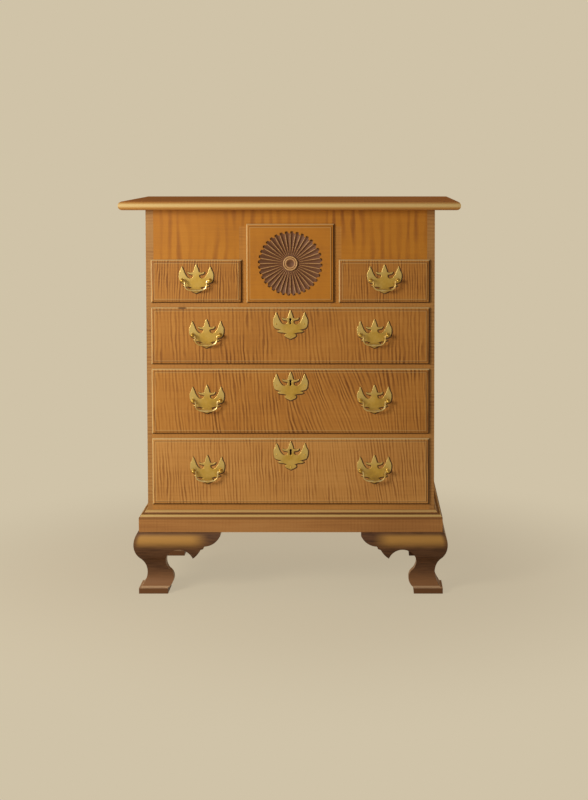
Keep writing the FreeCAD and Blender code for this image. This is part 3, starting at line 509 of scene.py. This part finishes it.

# %% Painted highlights on knees and toes
MITRE_AT = (0.402, -0.227)  # a point on the line of the front feet's mitres, across and in depth
axes = add(tree, "ShaderNodeSeparateXYZ", {0: place}).outputs
side = add(tree, "ShaderNodeMath", {0: axes["X"]}, operation="ABSOLUTE").outputs[0]
from_side = add(tree, "ShaderNodeMath", {0: MITRE_AT[0], 1: side}, operation="SUBTRACT").outputs[0]
from_front = add(tree, "ShaderNodeMath", {0: axes["Y"], 1: MITRE_AT[1]}, operation="SUBTRACT").outputs[0]
off_mitre = add(tree, "ShaderNodeMath", {0: from_front, 1: from_side}, operation="SUBTRACT")
off_mitre = add(tree, "ShaderNodeMath", {0: off_mitre.outputs[0]}, operation="ABSOLUTE").outputs[0]
knee_highlight = 1.0
for ruler, start, end, at_start, at_end in (
        (axes["Z"], 0.120, 0.147, 0.0, 1.0),      # up from the ankle
        (axes["Z"], 0.152, 0.1655, 1.0, 0.0),     # but not under the base moulding
        (side, 0.212, 0.268, 0.0, 1.0),           # outward from the bracket's inner end
        (off_mitre, 0.002, 0.016, 0.15, 0.76)):   # but not along the mitre
    fade = add(tree, "ShaderNodeMapRange", {
        "Value": ruler, "From Min": start, "From Max": end, "To Min": at_start, "To Max": at_end},
        interpolation_type="SMOOTHSTEP")
    knee_highlight = add(tree, "ShaderNodeMath", {0: knee_highlight, 1: fade.outputs[0]}, operation="MULTIPLY").outputs[0]
toe_highlight = add(tree, "ShaderNodeMapRange", {
    "Value": axes["Z"], "From Min": 0.022, "From Max": 0.066, "To Min": 0.7, "To Max": 0.0},
    interpolation_type="SMOOTHSTEP").outputs[0]
# Toes and knees get a painted highlight.
for mask, shade in ((toe_highlight, "#96683F"), (knee_highlight, "#C29048")):
    over_paint(stained, mask, shade)
print("rubbed on the feet: toes and knees")

# %% Sawn edges, pads and pale rims
PAD_TOP = 0.0148

# A sawn edge faces across on a front bracket, and back or forward on a side bracket; it gets a painted
# highlight.
facing = add(tree, "ShaderNodeNewGeometry").outputs["Normal"]
facing = add(tree, "ShaderNodeSeparateXYZ", {0: facing}).outputs
on_front = add(tree, "ShaderNodeMath", {0: from_front, 1: from_side}, operation="LESS_THAN")
edge_x = add(tree, "ShaderNodeMath", {0: facing["X"]}, operation="ABSOLUTE")
edge_y = add(tree, "ShaderNodeMath", {0: facing["Y"]}, operation="ABSOLUTE")
sawn = add(tree, "ShaderNodeMix", {0: on_front.outputs[0], 2: edge_y.outputs[0], 3: edge_x.outputs[0]})
sawn = add(tree, "ShaderNodeMapRange", {
    "Value": sawn.outputs[0], "From Min": 0.25, "From Max": 0.5, "To Max": 0.75}).outputs[0]

on_pad = add(tree, "ShaderNodeMath", {0: axes["Z"], 1: PAD_TOP}, operation="LESS_THAN").outputs[0]
# A pale band just above the pads.
pale_rim = band_mask(tree, axes["Z"], middle_mm=16.5, half_mm=2.2, soft_mm=0.8, share=0.65)
for mask, shade in ((sawn, "#BC966E"), (on_pad, "#6E492C"), (pale_rim, "#C4A27C")):
    over_paint(stained, mask, shade)
print("paler on the feet: sawn edges, and the rims over the pads at", PAD_TOP)

# %% [markdown]
# ## Bare pine inside
# Drawer sides, bottoms, runners and the back are plain pine, planed and never polished. Pine
# shows soft pale wood with thin darker lines, one for each winter, a few millimetres apart
# across a board, and it turns tan with age. Rings could come from a wood texture with circles,
# but bands of stretched noise with a sharp dark edge look like sawn boards and are cheap. The
# back is three boards, so dark lines mark their two seams.

# %% Planed pine
RING_MM = (625.0, 14.0, 30.0)  # length, width and depth of the shapes that the rings follow
RINGS_A_SHAPE = 9.0
FIBRE_LONG_MM = 1000.0
FIBRES_A_SHAPE = 6.0
PINE_TONES = ("#C9A878", "#BC9560", "#9E7440", "#B48C58")


def planed_pine(name, grain, across, seed, back_from=None):
    """Pale unfinished boards; behind the depth back_from, the grain turns to the third direction."""
    material, tree, place = new_finish(name)
    axes = add(tree, "ShaderNodeSeparateXYZ", {0: place}).outputs
    depth = ({"X", "Y", "Z"} - {grain, across}).pop()
    along, over, deep = axes[grain], axes[across], axes[depth]
    if back_from is not None:
        behind = add(tree, "ShaderNodeMath", {0: axes["Y"], 1: back_from}, operation="GREATER_THAN")
        along = add(tree, "ShaderNodeMix", {0: behind.outputs[0], 2: axes[grain], 3: axes[depth]}).outputs[0]
        deep = add(tree, "ShaderNodeMix", {0: behind.outputs[0], 2: axes[depth], 3: axes[grain]}).outputs[0]
    ring_at = grain_place(tree, along, over, deep, *RING_MM, seed)
    rings = add(tree, "ShaderNodeTexNoise", {"Vector": ring_at, "Scale": 1.0, "Detail": 0.5})
    bands = add(tree, "ShaderNodeMath", {0: rings.outputs["Fac"], 1: RINGS_A_SHAPE}, operation="MULTIPLY")
    bands = add(tree, "ShaderNodeMath", {0: bands.outputs[0]}, operation="FRACT").outputs[0]
    fibre_at = grain_place(tree, along, over, deep, FIBRE_LONG_MM, *RING_MM[1:])
    fibres = add(tree, "ShaderNodeTexNoise", {"Vector": fibre_at, "Scale": FIBRES_A_SHAPE, "Detail": 3.0})
    fibres = fibres.outputs["Fac"]
    tone = add(tree, "ShaderNodeMath", {0: fibres, 1: 0.35, 2: -0.17}, operation="MULTIPLY_ADD")
    tone = add(tree, "ShaderNodeMath", {0: bands, 1: tone.outputs[0]}, operation="ADD")
    ramp = add(tree, "ShaderNodeValToRGB", {0: tone.outputs[0]})
    spread_tones(ramp, PINE_TONES, (0.0, 0.55, 0.88, 1.0))

    # Bare planed wood is dull, a little less so on the hard dark lines.
    surface = finish_surface(tree, ramp, bands, (0.78, 0.62), bumps=fibres, strength=0.3)
    surface.inputs["IOR"].default_value = 1.45
    return material


print("pine rings in mm:", RING_MM)

# %% Pine for the inside and the back
BOX_BACK = 0.1875  # just in front of the back boards of the drawers' boxes
SEAMS_MM = (449.3, 733.7)
pine_boxes = planed_pine("planed_pine_boxes", "Y", "Z", 4.0, BOX_BACK)
pine_bottoms = planed_pine("planed_pine_bottoms", "X", "Y", 9.0)
pine_back = planed_pine("planed_pine_back", "X", "Z", 15.0)
pine_runners = planed_pine("planed_pine_runners", "Y", "X", 22.0)
pine_blocks = planed_pine("planed_pine_blocks", "Z", "X", 27.0)

level_band(pine_back, *SEAMS_MM, 0.8, 0.2, "#A87C48")
for seam_mm in SEAMS_MM:
    level_band(pine_back, seam_mm - 1.0, seam_mm + 1.0, 0.6, 0.8, "#5A3A1C")
finish_with([f"{drawer}_box" for drawer in drawer_maple], pine_boxes)
finish_with([f"{drawer}_bottom" for drawer in drawer_maple], pine_bottoms)
finish_with(["back_boards", "bottom_board"], pine_back)
finish_with(["drawer_runners", "drawer_partitions", "drawer_kickers"], pine_runners)
finish_with(["foot_glue_blocks"], pine_blocks)
print("pine boards:", [m.name for m in bpy.data.materials if "pine" in m.name])

# %% [markdown]
# ## Old cast brass
# The plates, posts and bails were cast, filed at the edges and lacquered, and have turned from
# bright gold to a soft olive yellow. Metal has no colour of its own under the surface, only
# tinted reflections, so metallic stays near 1 and the tint carries the age. Cast skin is
# never quite flat: bumps about 6 mm across break the reflections, and the tarnish lies in
# patches of 18 to 26 mm. The bails and the plates' wings are painted paler, a painted
# highlight. The locks are forged iron, darker and rougher.

# %% Cast brass and lock iron
TINT_PLACES = (0.3, 0.5, 0.7)
DENT_HIGH_MM = 0.3


def aged_metal(name, tints, patch_mm, dent_mm, metallic, rough, dent):
    """Old metal: three tints in patches, the darkest the roughest, and a skin that isn't quite flat."""
    material, tree, place = new_finish(name)
    patches = add(tree, "ShaderNodeTexNoise", {"Vector": place, "Scale": 1 / (patch_mm * MM), "Detail": 3.0})
    dents = add(tree, "ShaderNodeTexNoise", {"Vector": place, "Scale": 1 / (dent_mm * MM), "Detail": 1.0})
    ramp = add(tree, "ShaderNodeValToRGB", {0: patches.outputs["Fac"]})
    spread_tones(ramp, tints, TINT_PLACES)
    surface = finish_surface(tree, ramp, patches.outputs["Fac"], rough, (TINT_PLACES[0], TINT_PLACES[-1]),
                             dents.outputs["Fac"], dent, DENT_HIGH_MM)
    surface.inputs["Metallic"].default_value = metallic
    return material


cast_brass = aged_metal("old_cast_brass", ("#B08A3A", "#CAA346", "#DEBE6C"), patch_mm=26.0, dent_mm=6.0,
                        metallic=0.85, rough=(0.42, 0.34), dent=0.15)
# The bails' paler tints are a painted highlight.
bail_brass = aged_metal("bail_brass_painted_highlight", ("#C4A054", "#D8BA74", "#E6D296"), patch_mm=18.0, dent_mm=6.0,
                        metallic=0.8, rough=(0.4, 0.3), dent=0.15)
plate_brass = aged_metal("filed_plate_brass", ("#B48F42", "#C9A247", "#D7B25C"), patch_mm=26.0, dent_mm=6.0,
                         metallic=0.85, rough=(0.5, 0.42), dent=0.15)
forged_iron = aged_metal("forged_lock_iron", ("#3A3430", "#56504A", "#6E6860"), patch_mm=12.0, dent_mm=3.0,
                         metallic=0.85, rough=(0.6, 0.42), dent=0.3)
for drawer in ("upper_drawer", "middle_drawer", "lower_drawer"):
    finish_with([f"{drawer}_lock", f"{drawer}_lock_bolt"], forged_iron)
print("metals:", cast_brass.name, bail_brass.name, plate_brass.name, forged_iron.name)

# %% Painted highlight on the plates' wings
DARKEST_AT = (0.006, -0.008, 0.0)  # on a plate, from the middle of its bail's line
DARK_SPREAD = (0.026, 0.021, 1.0)

# Each point of a plate will note its place on that plate under the name on_plate.
tree = plate_brass.node_tree
on_plate = add(tree, "ShaderNodeAttribute", attribute_name="on_plate").outputs["Vector"]
off_middle = add(tree, "ShaderNodeVectorMath", {0: on_plate, 1: DARKEST_AT}, operation="SUBTRACT")
off_middle = add(tree, "ShaderNodeVectorMath", {0: off_middle.outputs[0], 1: DARK_SPREAD},
                 operation="DIVIDE")
off_middle = add(tree, "ShaderNodeVectorMath", {0: off_middle.outputs[0]}, operation="LENGTH")
# Towards the wings and tips the plate gets a painted highlight, away from its shaded middle.
painted_highlight = add(tree, "ShaderNodeMapRange", {
    "Value": off_middle.outputs["Value"], "From Min": 0.5, "From Max": 1.9, "To Max": 0.5},
    interpolation_type="SMOOTHSTEP")
over_paint(plate_brass, painted_highlight.outputs[0], "#E0CA84")
print("rubbed towards the tips:", plate_brass.name)

# %% [markdown]
# ## Bat-wing plates
# Behind each handle sits a flat plate: a spear in the middle, two small horns beside it, two
# spread wings, a point below each wing and a lobe at the bottom. A box cut to shape would take
# many cuts. A flat curve is the natural tool: smooth points give the round lobes, corner points
# the tips, and the curve's own bevel files the edge that catches the light. Keyholes are a
# second loop inside the first.

# %% Outline of a plate
PLATE_DRAWING = [  # right half in mm from the bail's line: across, up, and True for a filed corner
    (0, 42.5, True), (2.8, 36.5), (5, 30.5), (6.2, 26), (7.2, 21.8, True), (13, 20.2), (18, 20.8),
    (22.4, 23, True), (21.4, 18.6), (17, 16), (12, 15), (8.4, 14.2, True), (8.4, 10.4), (9.8, 7.4),
    (14, 5), (19.4, 5.6), (24.8, 10.2), (29.6, 18), (33, 27), (37.5, 37.5, True), (40.2, 29.6),
    (41.6, 25.4, True), (44.6, 20), (45.6, 11), (44.4, 2.4), (41, -4.6), (34, -7.6),
    (24.6, -9.6, True), (30, -11), (35, -14.2, True), (28.4, -16.6), (19, -17.4), (10, -20, True),
    (14.4, -22.2), (14.8, -25.8), (11, -29.4), (5.4, -32), (0, -34.5, True)]


def whole_outline():
    """The drawn half and its mirror image, once round the plate."""
    return PLATE_DRAWING + [(-x, z, *corner) for x, z, *corner in reversed(PLATE_DRAWING[1:-1])]


def loop_of(curve, drawing):
    """Adds a closed line through the drawn points, round or cornered."""
    line = curve.splines.new("BEZIER")
    line.bezier_points.add(len(drawing) - 1)
    line.use_cyclic_u = True
    for point, (across, up, *corner) in zip(line.bezier_points, drawing):
        point.co = (across * MM, up * MM, 0.0)
        kind = "VECTOR" if corner else "AUTO"
        point.handle_left_type = kind
        point.handle_right_type = kind


def mesh_of(curve):
    """The mesh that a curve gives."""
    holder = bpy.data.objects.new(curve.name, curve)
    mesh = bpy.data.meshes.new_from_object(holder)
    bpy.data.objects.remove(holder)
    return mesh


print("points once round a plate:", len(whole_outline()))

# %% Keyhole
KEYHOLE_UP = 13.0            # these sizes are in mm
KEY_SLOT = (2.3, -8.0, 2.8)  # half width, and lower and upper end from the keyhole's middle
KEY_ROUND = (3.1, 4.9)       # radius, and height over the keyhole's middle
KEY_TURN = (222, -33, 9)     # degrees at its first point and to the next, and how many points


def keyhole_drawing(up):
    """A round hole over a slot, as points round the opening."""
    half, low, high = KEY_SLOT
    radius, rise = KEY_ROUND
    first, turn_step, count = KEY_TURN
    drawing = [(-half, up + low, True), (-half, up + high, True)]
    for step in range(count):
        turn = math.radians(first + turn_step * step)
        drawing.append((radius * math.cos(turn), up + rise + radius * math.sin(turn)))
    return drawing + [(half, up + high, True), (half, up + low, True)]


print("points round a keyhole:", len(keyhole_drawing(KEYHOLE_UP)))

# %% Filed plates
FILED = 0.75 * MM
PLATE_THICK = 1.6 * MM


def flat_plate(keyhole_up=None):
    """One plate as a mesh, drawn in the plane of the page with its edges filed."""
    curve = bpy.data.curves.new("plate_drawing", "CURVE")
    curve.dimensions = "2D"
    curve.fill_mode = "BOTH"
    curve.resolution_u = 4
    loop_of(curve, whole_outline())
    if keyhole_up is not None:
        loop_of(curve, keyhole_drawing(keyhole_up))
    curve.bevel_depth = FILED
    curve.bevel_resolution = 1
    curve.extrude = PLATE_THICK / 2 - FILED
    curve.offset = -FILED
    return mesh_of(curve)


handle_plate = flat_plate()
escutcheon = flat_plate(KEYHOLE_UP)
print("plate faces:", len(handle_plate.polygons), "escutcheon faces:", len(escutcheon.polygons))

# %% [markdown]
# ## Painted shadow round the plates
# Lit from the upper left, each plate would cast a thin shadow low and to the right on the wood;
# here that shadow is painted. Dark paint on the wood would have to know each plate's outline in
# the shader. The outline is already drawn as a curve, so a thin dark bead along it, moved a
# little low and to the right, gives the painted shadow directly. The bead is dull and varies in
# patches of about 9 mm.

# %% Bead of painted shadow
SHADOW_BEAD = 1.4 * MM
SHADOW_SHIFT_MM = (1.5, 1.3)  # right and down
SHADOW_FLAT = 0.4             # height of the bead against its radius


def shadow_bead_line():
    """A thin dark bead along a plate's outline, half round, lying on the wood: a painted shadow."""
    curve = bpy.data.curves.new("shadow_drawing", "CURVE")
    curve.dimensions = "3D"
    curve.resolution_u = 2
    curve.bevel_depth = SHADOW_BEAD
    curve.bevel_resolution = 1
    across, down = SHADOW_SHIFT_MM
    loop_of(curve, [(x + across, z - down, *corner) for x, z, *corner in whole_outline()])
    bead = mesh_of(curve)
    for corner in bead.vertices:
        corner.co.z = SHADOW_FLAT * max(corner.co.z, 0.0) - PLATE_THICK / 2
    return bead


plate_shadow_bead = shadow_bead_line()
painted_shadow_finish, tree, place = new_finish("painted_plate_shadow")
shadow_patches = add(tree, "ShaderNodeTexNoise", {"Vector": place, "Scale": 1 / (9 * MM), "Detail": 2.0})
ramp = add(tree, "ShaderNodeValToRGB", {0: shadow_patches.outputs["Fac"]})
spread_tones(ramp, ("#371F0B", "#5C3A18"), (0.0, 1.0))
surface = tree.nodes["Principled BSDF"]
tree.links.new(ramp.outputs["Color"], surface.inputs["Base Color"])
surface.inputs["Roughness"].default_value = 0.7
surface.inputs["IOR"].default_value = 1.44
print("painted_shadow faces:", len(plate_shadow_bead.polygons))

# %% [markdown]
# ## Hanging the brasses
# Every handle is a plate, two posts turned on a lathe, and a bail that swings in the posts'
# eyes. A lathe shape is a profile carried round a line, so one small function turns the
# posts' heads, the pins and, with only four sides, the square shank and nut. The bail is a
# curve with a round bevel: thin at the eyes and swelled in the middle, as a founder cast it.

# %% Lathe work
FIELD_FACE = -213.0 * MM
PLATE_FACE = FIELD_FACE - PLATE_THICK
HEAD = [(0, 0), (5.2, 0), (5.2, 0.9), (4.2, 1.6), (3.3, 3.2), (3.1, 5), (3.6, 6.8), (4.5, 8.8), (4.95, 11.4),
        (4.7, 13.7), (3.8, 15.5), (2.1, 16.6), (0, 17)]
SHANK = [(0, 0), (3.5, 0), (3.5, -23.6), (0, -23.6)]
NUT = [(0, -23.6), (6.4, -23.6), (7.7, -24.4), (7.7, -26.8), (6.4, -27.6), (0, -27.6)]
PIN = [(2, -0.2), (1.9, 0.3), (1.3, 0.9), (0, 1.2)]


def join_rings(work, rings, count, slot_index=0):
    """Fills the space between each ring of points and the next with faces; a ring may be one point."""
    for near, far in zip(rings, rings[1:]):
        for step in range(count):
            after = (step + 1) % count
            corners = [near[step % len(near)], near[after % len(near)],
                       far[after % len(far)], far[step % len(far)]]
            work.faces.new(list(dict.fromkeys(corners))).material_index = slot_index


def turned(work, profile, spot, sides=20):
    """Carries a profile of radius and reach, in mm in front of the plate, round a line through the spot."""
    phase = math.pi / 4 if sides == 4 else 0.0
    rings = []
    for radius, out in profile:
        ring = []
        for step in range(sides if radius else 1):
            turn = phase + 2 * math.pi * step / sides
            ring.append(work.verts.new((spot[0] + radius * MM * math.cos(turn), PLATE_FACE - out * MM,
                                        spot[1] + radius * MM * math.sin(turn))))
        rings.append(ring)
    join_rings(work, rings, sides)


print("a post's head stands out by", HEAD[-1][1], "mm")

# %% Hang a piece in place of a node
CORNER_DEG = 35.0  # edges that turn more than this stay sharp


def hang(work, name, material, body, node, corner_deg=CORNER_DEG):
    """Makes a mesh object of the work, in place of a node of the frame, riding on a body."""
    bmesh.ops.recalc_face_normals(work, faces=work.faces)
    mesh = bpy.data.meshes.new(name)
    work.to_mesh(mesh)
    work.free()
    # Normals that came along with a mesh no longer fit, so they are worked out again.
    if "custom_normal" in mesh.attributes:
        mesh.attributes.remove(mesh.attributes["custom_normal"])
    mesh.polygons.foreach_set("use_smooth", [True] * len(mesh.polygons))
    mesh.set_sharp_from_angle(angle=math.radians(corner_deg))
    mesh.materials.append(material)
    piece = bpy.data.objects.new(name, mesh)
    bpy.context.scene.collection.objects.link(piece)
    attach(piece, body)
    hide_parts(node)
    return piece


print("edges stay sharp from", CORNER_DEG, "degrees")

# %% Lay a plate on a drawer


def lay_plate(work, plate, spot):
    """Stands a drawn plate and its painted shadow bead up on a drawer front, middle of the bail's line at
    the spot.
    """
    layers = work.verts.layers.float_vector
    on_plate = layers.get("on_plate") or layers.new("on_plate")
    for drawn, slot_index in ((plate, 0), (plate_shadow_bead, 1)):
        old = len(work.verts)
        old_faces = len(work.faces)
        work.from_mesh(drawn)
        work.verts.ensure_lookup_table()
        work.faces.ensure_lookup_table()
        for corner in work.verts[old:]:
            across, up, out = corner.co
            corner[on_plate] = (across, up, 0.0)
            corner.co = (spot[0] + across, FIELD_FACE - PLATE_THICK / 2 - out, spot[1] + up)
        for face in work.faces[old_faces:]:
            face.material_index = slot_index


print("plates lie on the drawers' faces at", round(FIELD_FACE, 4))

# %% Plates and posts
HANDLE_X = 221.0 * MM
SMALL_X = 247.25 * MM
SMALL_LINE = 0.833
HANDLE_LINES = {"upper_drawer": 0.6885, "middle_drawer": 0.5145, "lower_drawer": 0.3275}
KEY_LINES = {"upper_drawer": 0.712, "middle_drawer": 0.549, "lower_drawer": 0.364}
POST_HALF = 36 * MM
KEY_PINS = ((-37, 5.6), (37, 5.6), (0, -28))
handles = {"left_drawer": {"left_drawer_bail": (-SMALL_X, SMALL_LINE)},
           "right_drawer": {"right_drawer_bail": (SMALL_X, SMALL_LINE)}}
for drawer, line in HANDLE_LINES.items():
    handles[drawer] = {f"{drawer}_left_bail": (-HANDLE_X, line), f"{drawer}_right_bail": (HANDLE_X, line)}

for drawer, spots in handles.items():
    plates = bmesh.new()
    for spot in spots.values():
        lay_plate(plates, handle_plate, spot)
    node = f"{drawer}_plate"
    if drawer in KEY_LINES:
        node = f"{drawer}_plates"
        lay_plate(plates, escutcheon, (0.0, KEY_LINES[drawer]))
        for across, up in KEY_PINS:
            turned(plates, PIN, (across * MM, KEY_LINES[drawer] + up * MM), sides=10)
    filed = hang(plates, f"{node}_filed", plate_brass, drawer, node)
    filed.data.materials.append(painted_shadow_finish)
    posts = bmesh.new()
    for across, line in spots.values():
        for hand in (-1, 1):
            spot = (across + hand * POST_HALF, line)
            turned(posts, HEAD, spot)
            turned(posts, SHANK, spot, sides=4)
            turned(posts, NUT, spot, sides=4)
    hang(posts, f"{drawer}_posts_turned", cast_brass, drawer, f"{drawer}_posts")
print("plates and posts on", len(handles), "drawers")

# %% Bails
BAIL_DRAWING = [  # right half in mm from the eyes' line: across, up and share of the bar's thickness
    (37.4, 0, 0.9), (32.8, 0, 0.9), (29.6, -1.7, 0.92), (28.4, -5.5, 0.95), (28.8, -11.5, 0.95),
    (26.8, -18, 0.95), (21, -23.3, 1.0), (12, -25.7, 1.1), (0, -26.2, 1.2)]
BAR = 2.3 * MM
PIVOT_Y = -226.6 * MM


def cast_bail(name, spot):
    """A bar bent down from the posts' eyes, thickest in the middle."""
    curve = bpy.data.curves.new(name, "CURVE")
    curve.dimensions = "3D"
    curve.resolution_u = 5
    curve.bevel_depth = BAR
    curve.bevel_resolution = 3
    curve.use_fill_caps = True
    drawing = BAIL_DRAWING + [(-x, z, share) for x, z, share in reversed(BAIL_DRAWING[:-1])]
    line = curve.splines.new("BEZIER")
    line.bezier_points.add(len(drawing) - 1)
    for point, (across, up, share) in zip(line.bezier_points, drawing):
        point.co = (spot[0] + across * MM, PIVOT_Y, spot[1] + up * MM)
        point.handle_left_type = "AUTO"
        point.handle_right_type = "AUTO"
        point.radius = share
    bent = bmesh.new()
    bent.from_mesh(mesh_of(curve))
    return hang(bent, f"{name}_cast", bail_brass, name, name)


bails = [cast_bail(name, spot) for spots in handles.values() for name, spot in spots.items()]
print("bails:", len(bails), "faces each:", len(bails[0].data.polygons))

# %% [markdown]
# ## The carved fan
# The middle drawer wears a wheel of 36 flutes round a ringed boss. A carver sets out the rays,
# sinks each flute with a gouge so that it ends in a point, and leaves sharp ridges between.
# A displacement texture would melt those ridges, so the carving is a net of points: for each
# direction a ridge depth and a flute depth, with a scooped curve between them. The rest of
# the front is copied from the frame, so the dovetail sockets behind it stay.

# %% Depths of the carving
FAN_MIDDLE = 877.0 * MM
RAYS = 36
BOSS_RADIUS = 19.5  # these sizes are in mm
FLUTE_TIP = 85.0
RIDGE_END = 79.0
RIDGE_DEEP = 6.0    # at the boss
FLUTE_DEEP = 7.0
BOSS_PROFILE = [(0.0, 5.6), (1.6, 5.5), (3.2, 5.2), (6.0, 4.3), (9.0, 3.1), (11.5, 2.2), (12.8, 2.0),
                (14.0, 2.5), (14.8, 3.1), (15.4, 2.8), (16.2, 1.8), (17.4, 1.4), (18.6, 1.8), (19.3, 2.9),
                (BOSS_RADIUS, RIDGE_DEEP)]


def scoop_depth(radius, edge, reach):
    """Depth in mm between a ridge (edge 1) and a flute's bottom (edge 0)."""
    run = (radius - BOSS_RADIUS) / (reach - BOSS_RADIUS)
    ridge = RIDGE_DEEP * (1.0 - run) ** 1.2
    flute = FLUTE_DEEP * (1.0 - run ** 3)
    return ridge + (flute - ridge) * (1.0 - edge ** 1.25)


def ray_reach(edge):
    """Where the carving's zigzag outline lies, from a flute's point to a ridge's end."""
    half = math.pi / RAYS
    end = (RIDGE_END * math.cos(half), RIDGE_END * math.sin(half))
    turn = edge * half
    run = (end[0] - FLUTE_TIP, end[1])
    share = (FLUTE_TIP * math.sin(turn)) / (run[1] * math.cos(turn) - run[0] * math.sin(turn))
    return math.hypot(FLUTE_TIP + share * run[0], share * run[1])


print("reach at a flute, half way and a ridge:", [round(ray_reach(e), 2) for e in (0.0, 0.5, 1.0)])

# %% Net of points
STEPS = 5          # points from a ridge to the next flute
LEVELS = 16        # rings from the boss to the outline
SHADED_BELOW = 1.6    # mm below the face where the painted shade begins on the boss
LEAST_DARK = 0.25  # on the boss


def carved_point(work, radius, turn, deep):
    """A point of the carving, in mm from the fan's middle and behind the drawer's face."""
    return work.verts.new((radius * MM * math.cos(turn), FIELD_FACE + deep * MM,
                           FAN_MIDDLE + radius * MM * math.sin(turn)))


def carve_fan(work, slot_index, painted_shade):
    """Adds the carved wheel as rings; each point notes its painted shade, 0 on a ridge to 1 in a flute."""
    count = 2 * RAYS * STEPS
    rings = []
    # On the boss, deeper points get more painted shade.
    for radius, deep in BOSS_PROFILE:
        ring = []
        for step in range(count if radius else 1):
            spot = carved_point(work, radius, 2 * math.pi * step / count, deep)
            spot[painted_shade] = min(1.0, max(LEAST_DARK, (deep - SHADED_BELOW) / SHADED_BELOW))
            ring.append(spot)
        rings.append(ring)

    # Flutes are painted dark, a painted shade, most of all near their tips. Ridges get painted shade only at
    # the boss and at the rim.
    for level in range(1, LEVELS + 1):
        share = level / LEVELS
        by_boss, by_tip = 0.3 * (1.0 - share) ** 2, 0.25 * share ** 6
        ring = []
        for step in range(count):
            edge = abs(1.0 - (step / STEPS) % 2)
            reach = ray_reach(edge)
            radius = BOSS_RADIUS + (reach - BOSS_RADIUS) * share
            spot = carved_point(work, radius, 2 * math.pi * step / count, scoop_depth(radius, edge, reach))
            spot[painted_shade] = min(1.0, (1.0 - edge) * (2.0 + 2.5 * share ** 2) + by_boss + by_tip)
            ring.append(spot)
        rings.append(ring)
    join_rings(work, rings, count, slot_index)
    return sum(len(ring) for ring in rings)


print("points round a ring:", 2 * RAYS * STEPS)

# %% Carve it
CUT_RADIUS = 86 * MM
CUT_DEEP = 7.9 * MM
FACE_SLACK = 0.05 * MM
front = bmesh.new()
front.from_mesh(nodes["fan_drawer_front"].data)
bmesh.ops.remove_doubles(front, verts=front.verts, dist=1e-6)
cut_away = []
for face in front.faces:
    near_middle = all(math.hypot(c.co.x, c.co.z - FAN_MIDDLE) < CUT_RADIUS for c in face.verts)
    in_carving = all(FIELD_FACE - MM < c.co.y < FIELD_FACE + CUT_DEEP for c in face.verts)
    sunk = any(c.co.y > FIELD_FACE + FACE_SLACK for c in face.verts)
    if near_middle and in_carving and sunk:
        cut_away.append(face)
bmesh.ops.delete(front, geom=cut_away, context="FACES")
points = carve_fan(front, 1, front.verts.layers.float.new("flute"))
fan_front = hang(front, "fan_drawer_front_carved", drawer_maple["fan_drawer"], "fan_drawer",
                 "fan_drawer_front", corner_deg=28.0)
print("coarse faces cut away:", len(cut_away), "carved points:", points)

# %% [markdown]
# ## Painted shade in the carving
# The flutes and the hollow of the boss are painted dark, a painted shade, and the ridges pale.
# A texture that darkens every hollow would need baking. Here each point of the carving already
# knows how deep in a flute it lies, so a ramp from tan to dark brown does the rest, broken up by
# fine pores.

# %% Carving with painted shade
CARVING_PORES_A_METRE = (12.0, 300.0, 300.0)  # about 80 mm long and 3 mm apart
carving, tree, place = new_finish("maple_carving_painted_shade")
deep = add(tree, "ShaderNodeAttribute", attribute_name="flute").outputs["Fac"]
stretch = add(tree, "ShaderNodeVectorMath", {0: place, 1: CARVING_PORES_A_METRE}, operation="MULTIPLY")
pores = add(tree, "ShaderNodeTexNoise", {"Vector": stretch.outputs[0], "Scale": 1.0, "Detail": 3.0})
mixed = add(tree, "ShaderNodeMath", {0: pores.outputs["Fac"], 1: 0.3, 2: -0.15}, operation="MULTIPLY_ADD")
mixed = add(tree, "ShaderNodeMath", {0: mixed.outputs[0], 1: deep}, operation="ADD")
ramp = add(tree, "ShaderNodeValToRGB", {0: mixed.outputs[0]})
spread_tones(ramp, ("#E4C48C", "#C89A62", "#8E603E", "#6E482E"), (0.0, 0.3, 0.65, 1.0))
surface = finish_surface(tree, ramp, deep, (0.45, 0.62))
surface.inputs["IOR"].default_value = 1.5
surface.inputs["Specular IOR Level"].default_value = 0.25
fan_front.data.materials.append(carving)
print("carving finish:", carving.name)
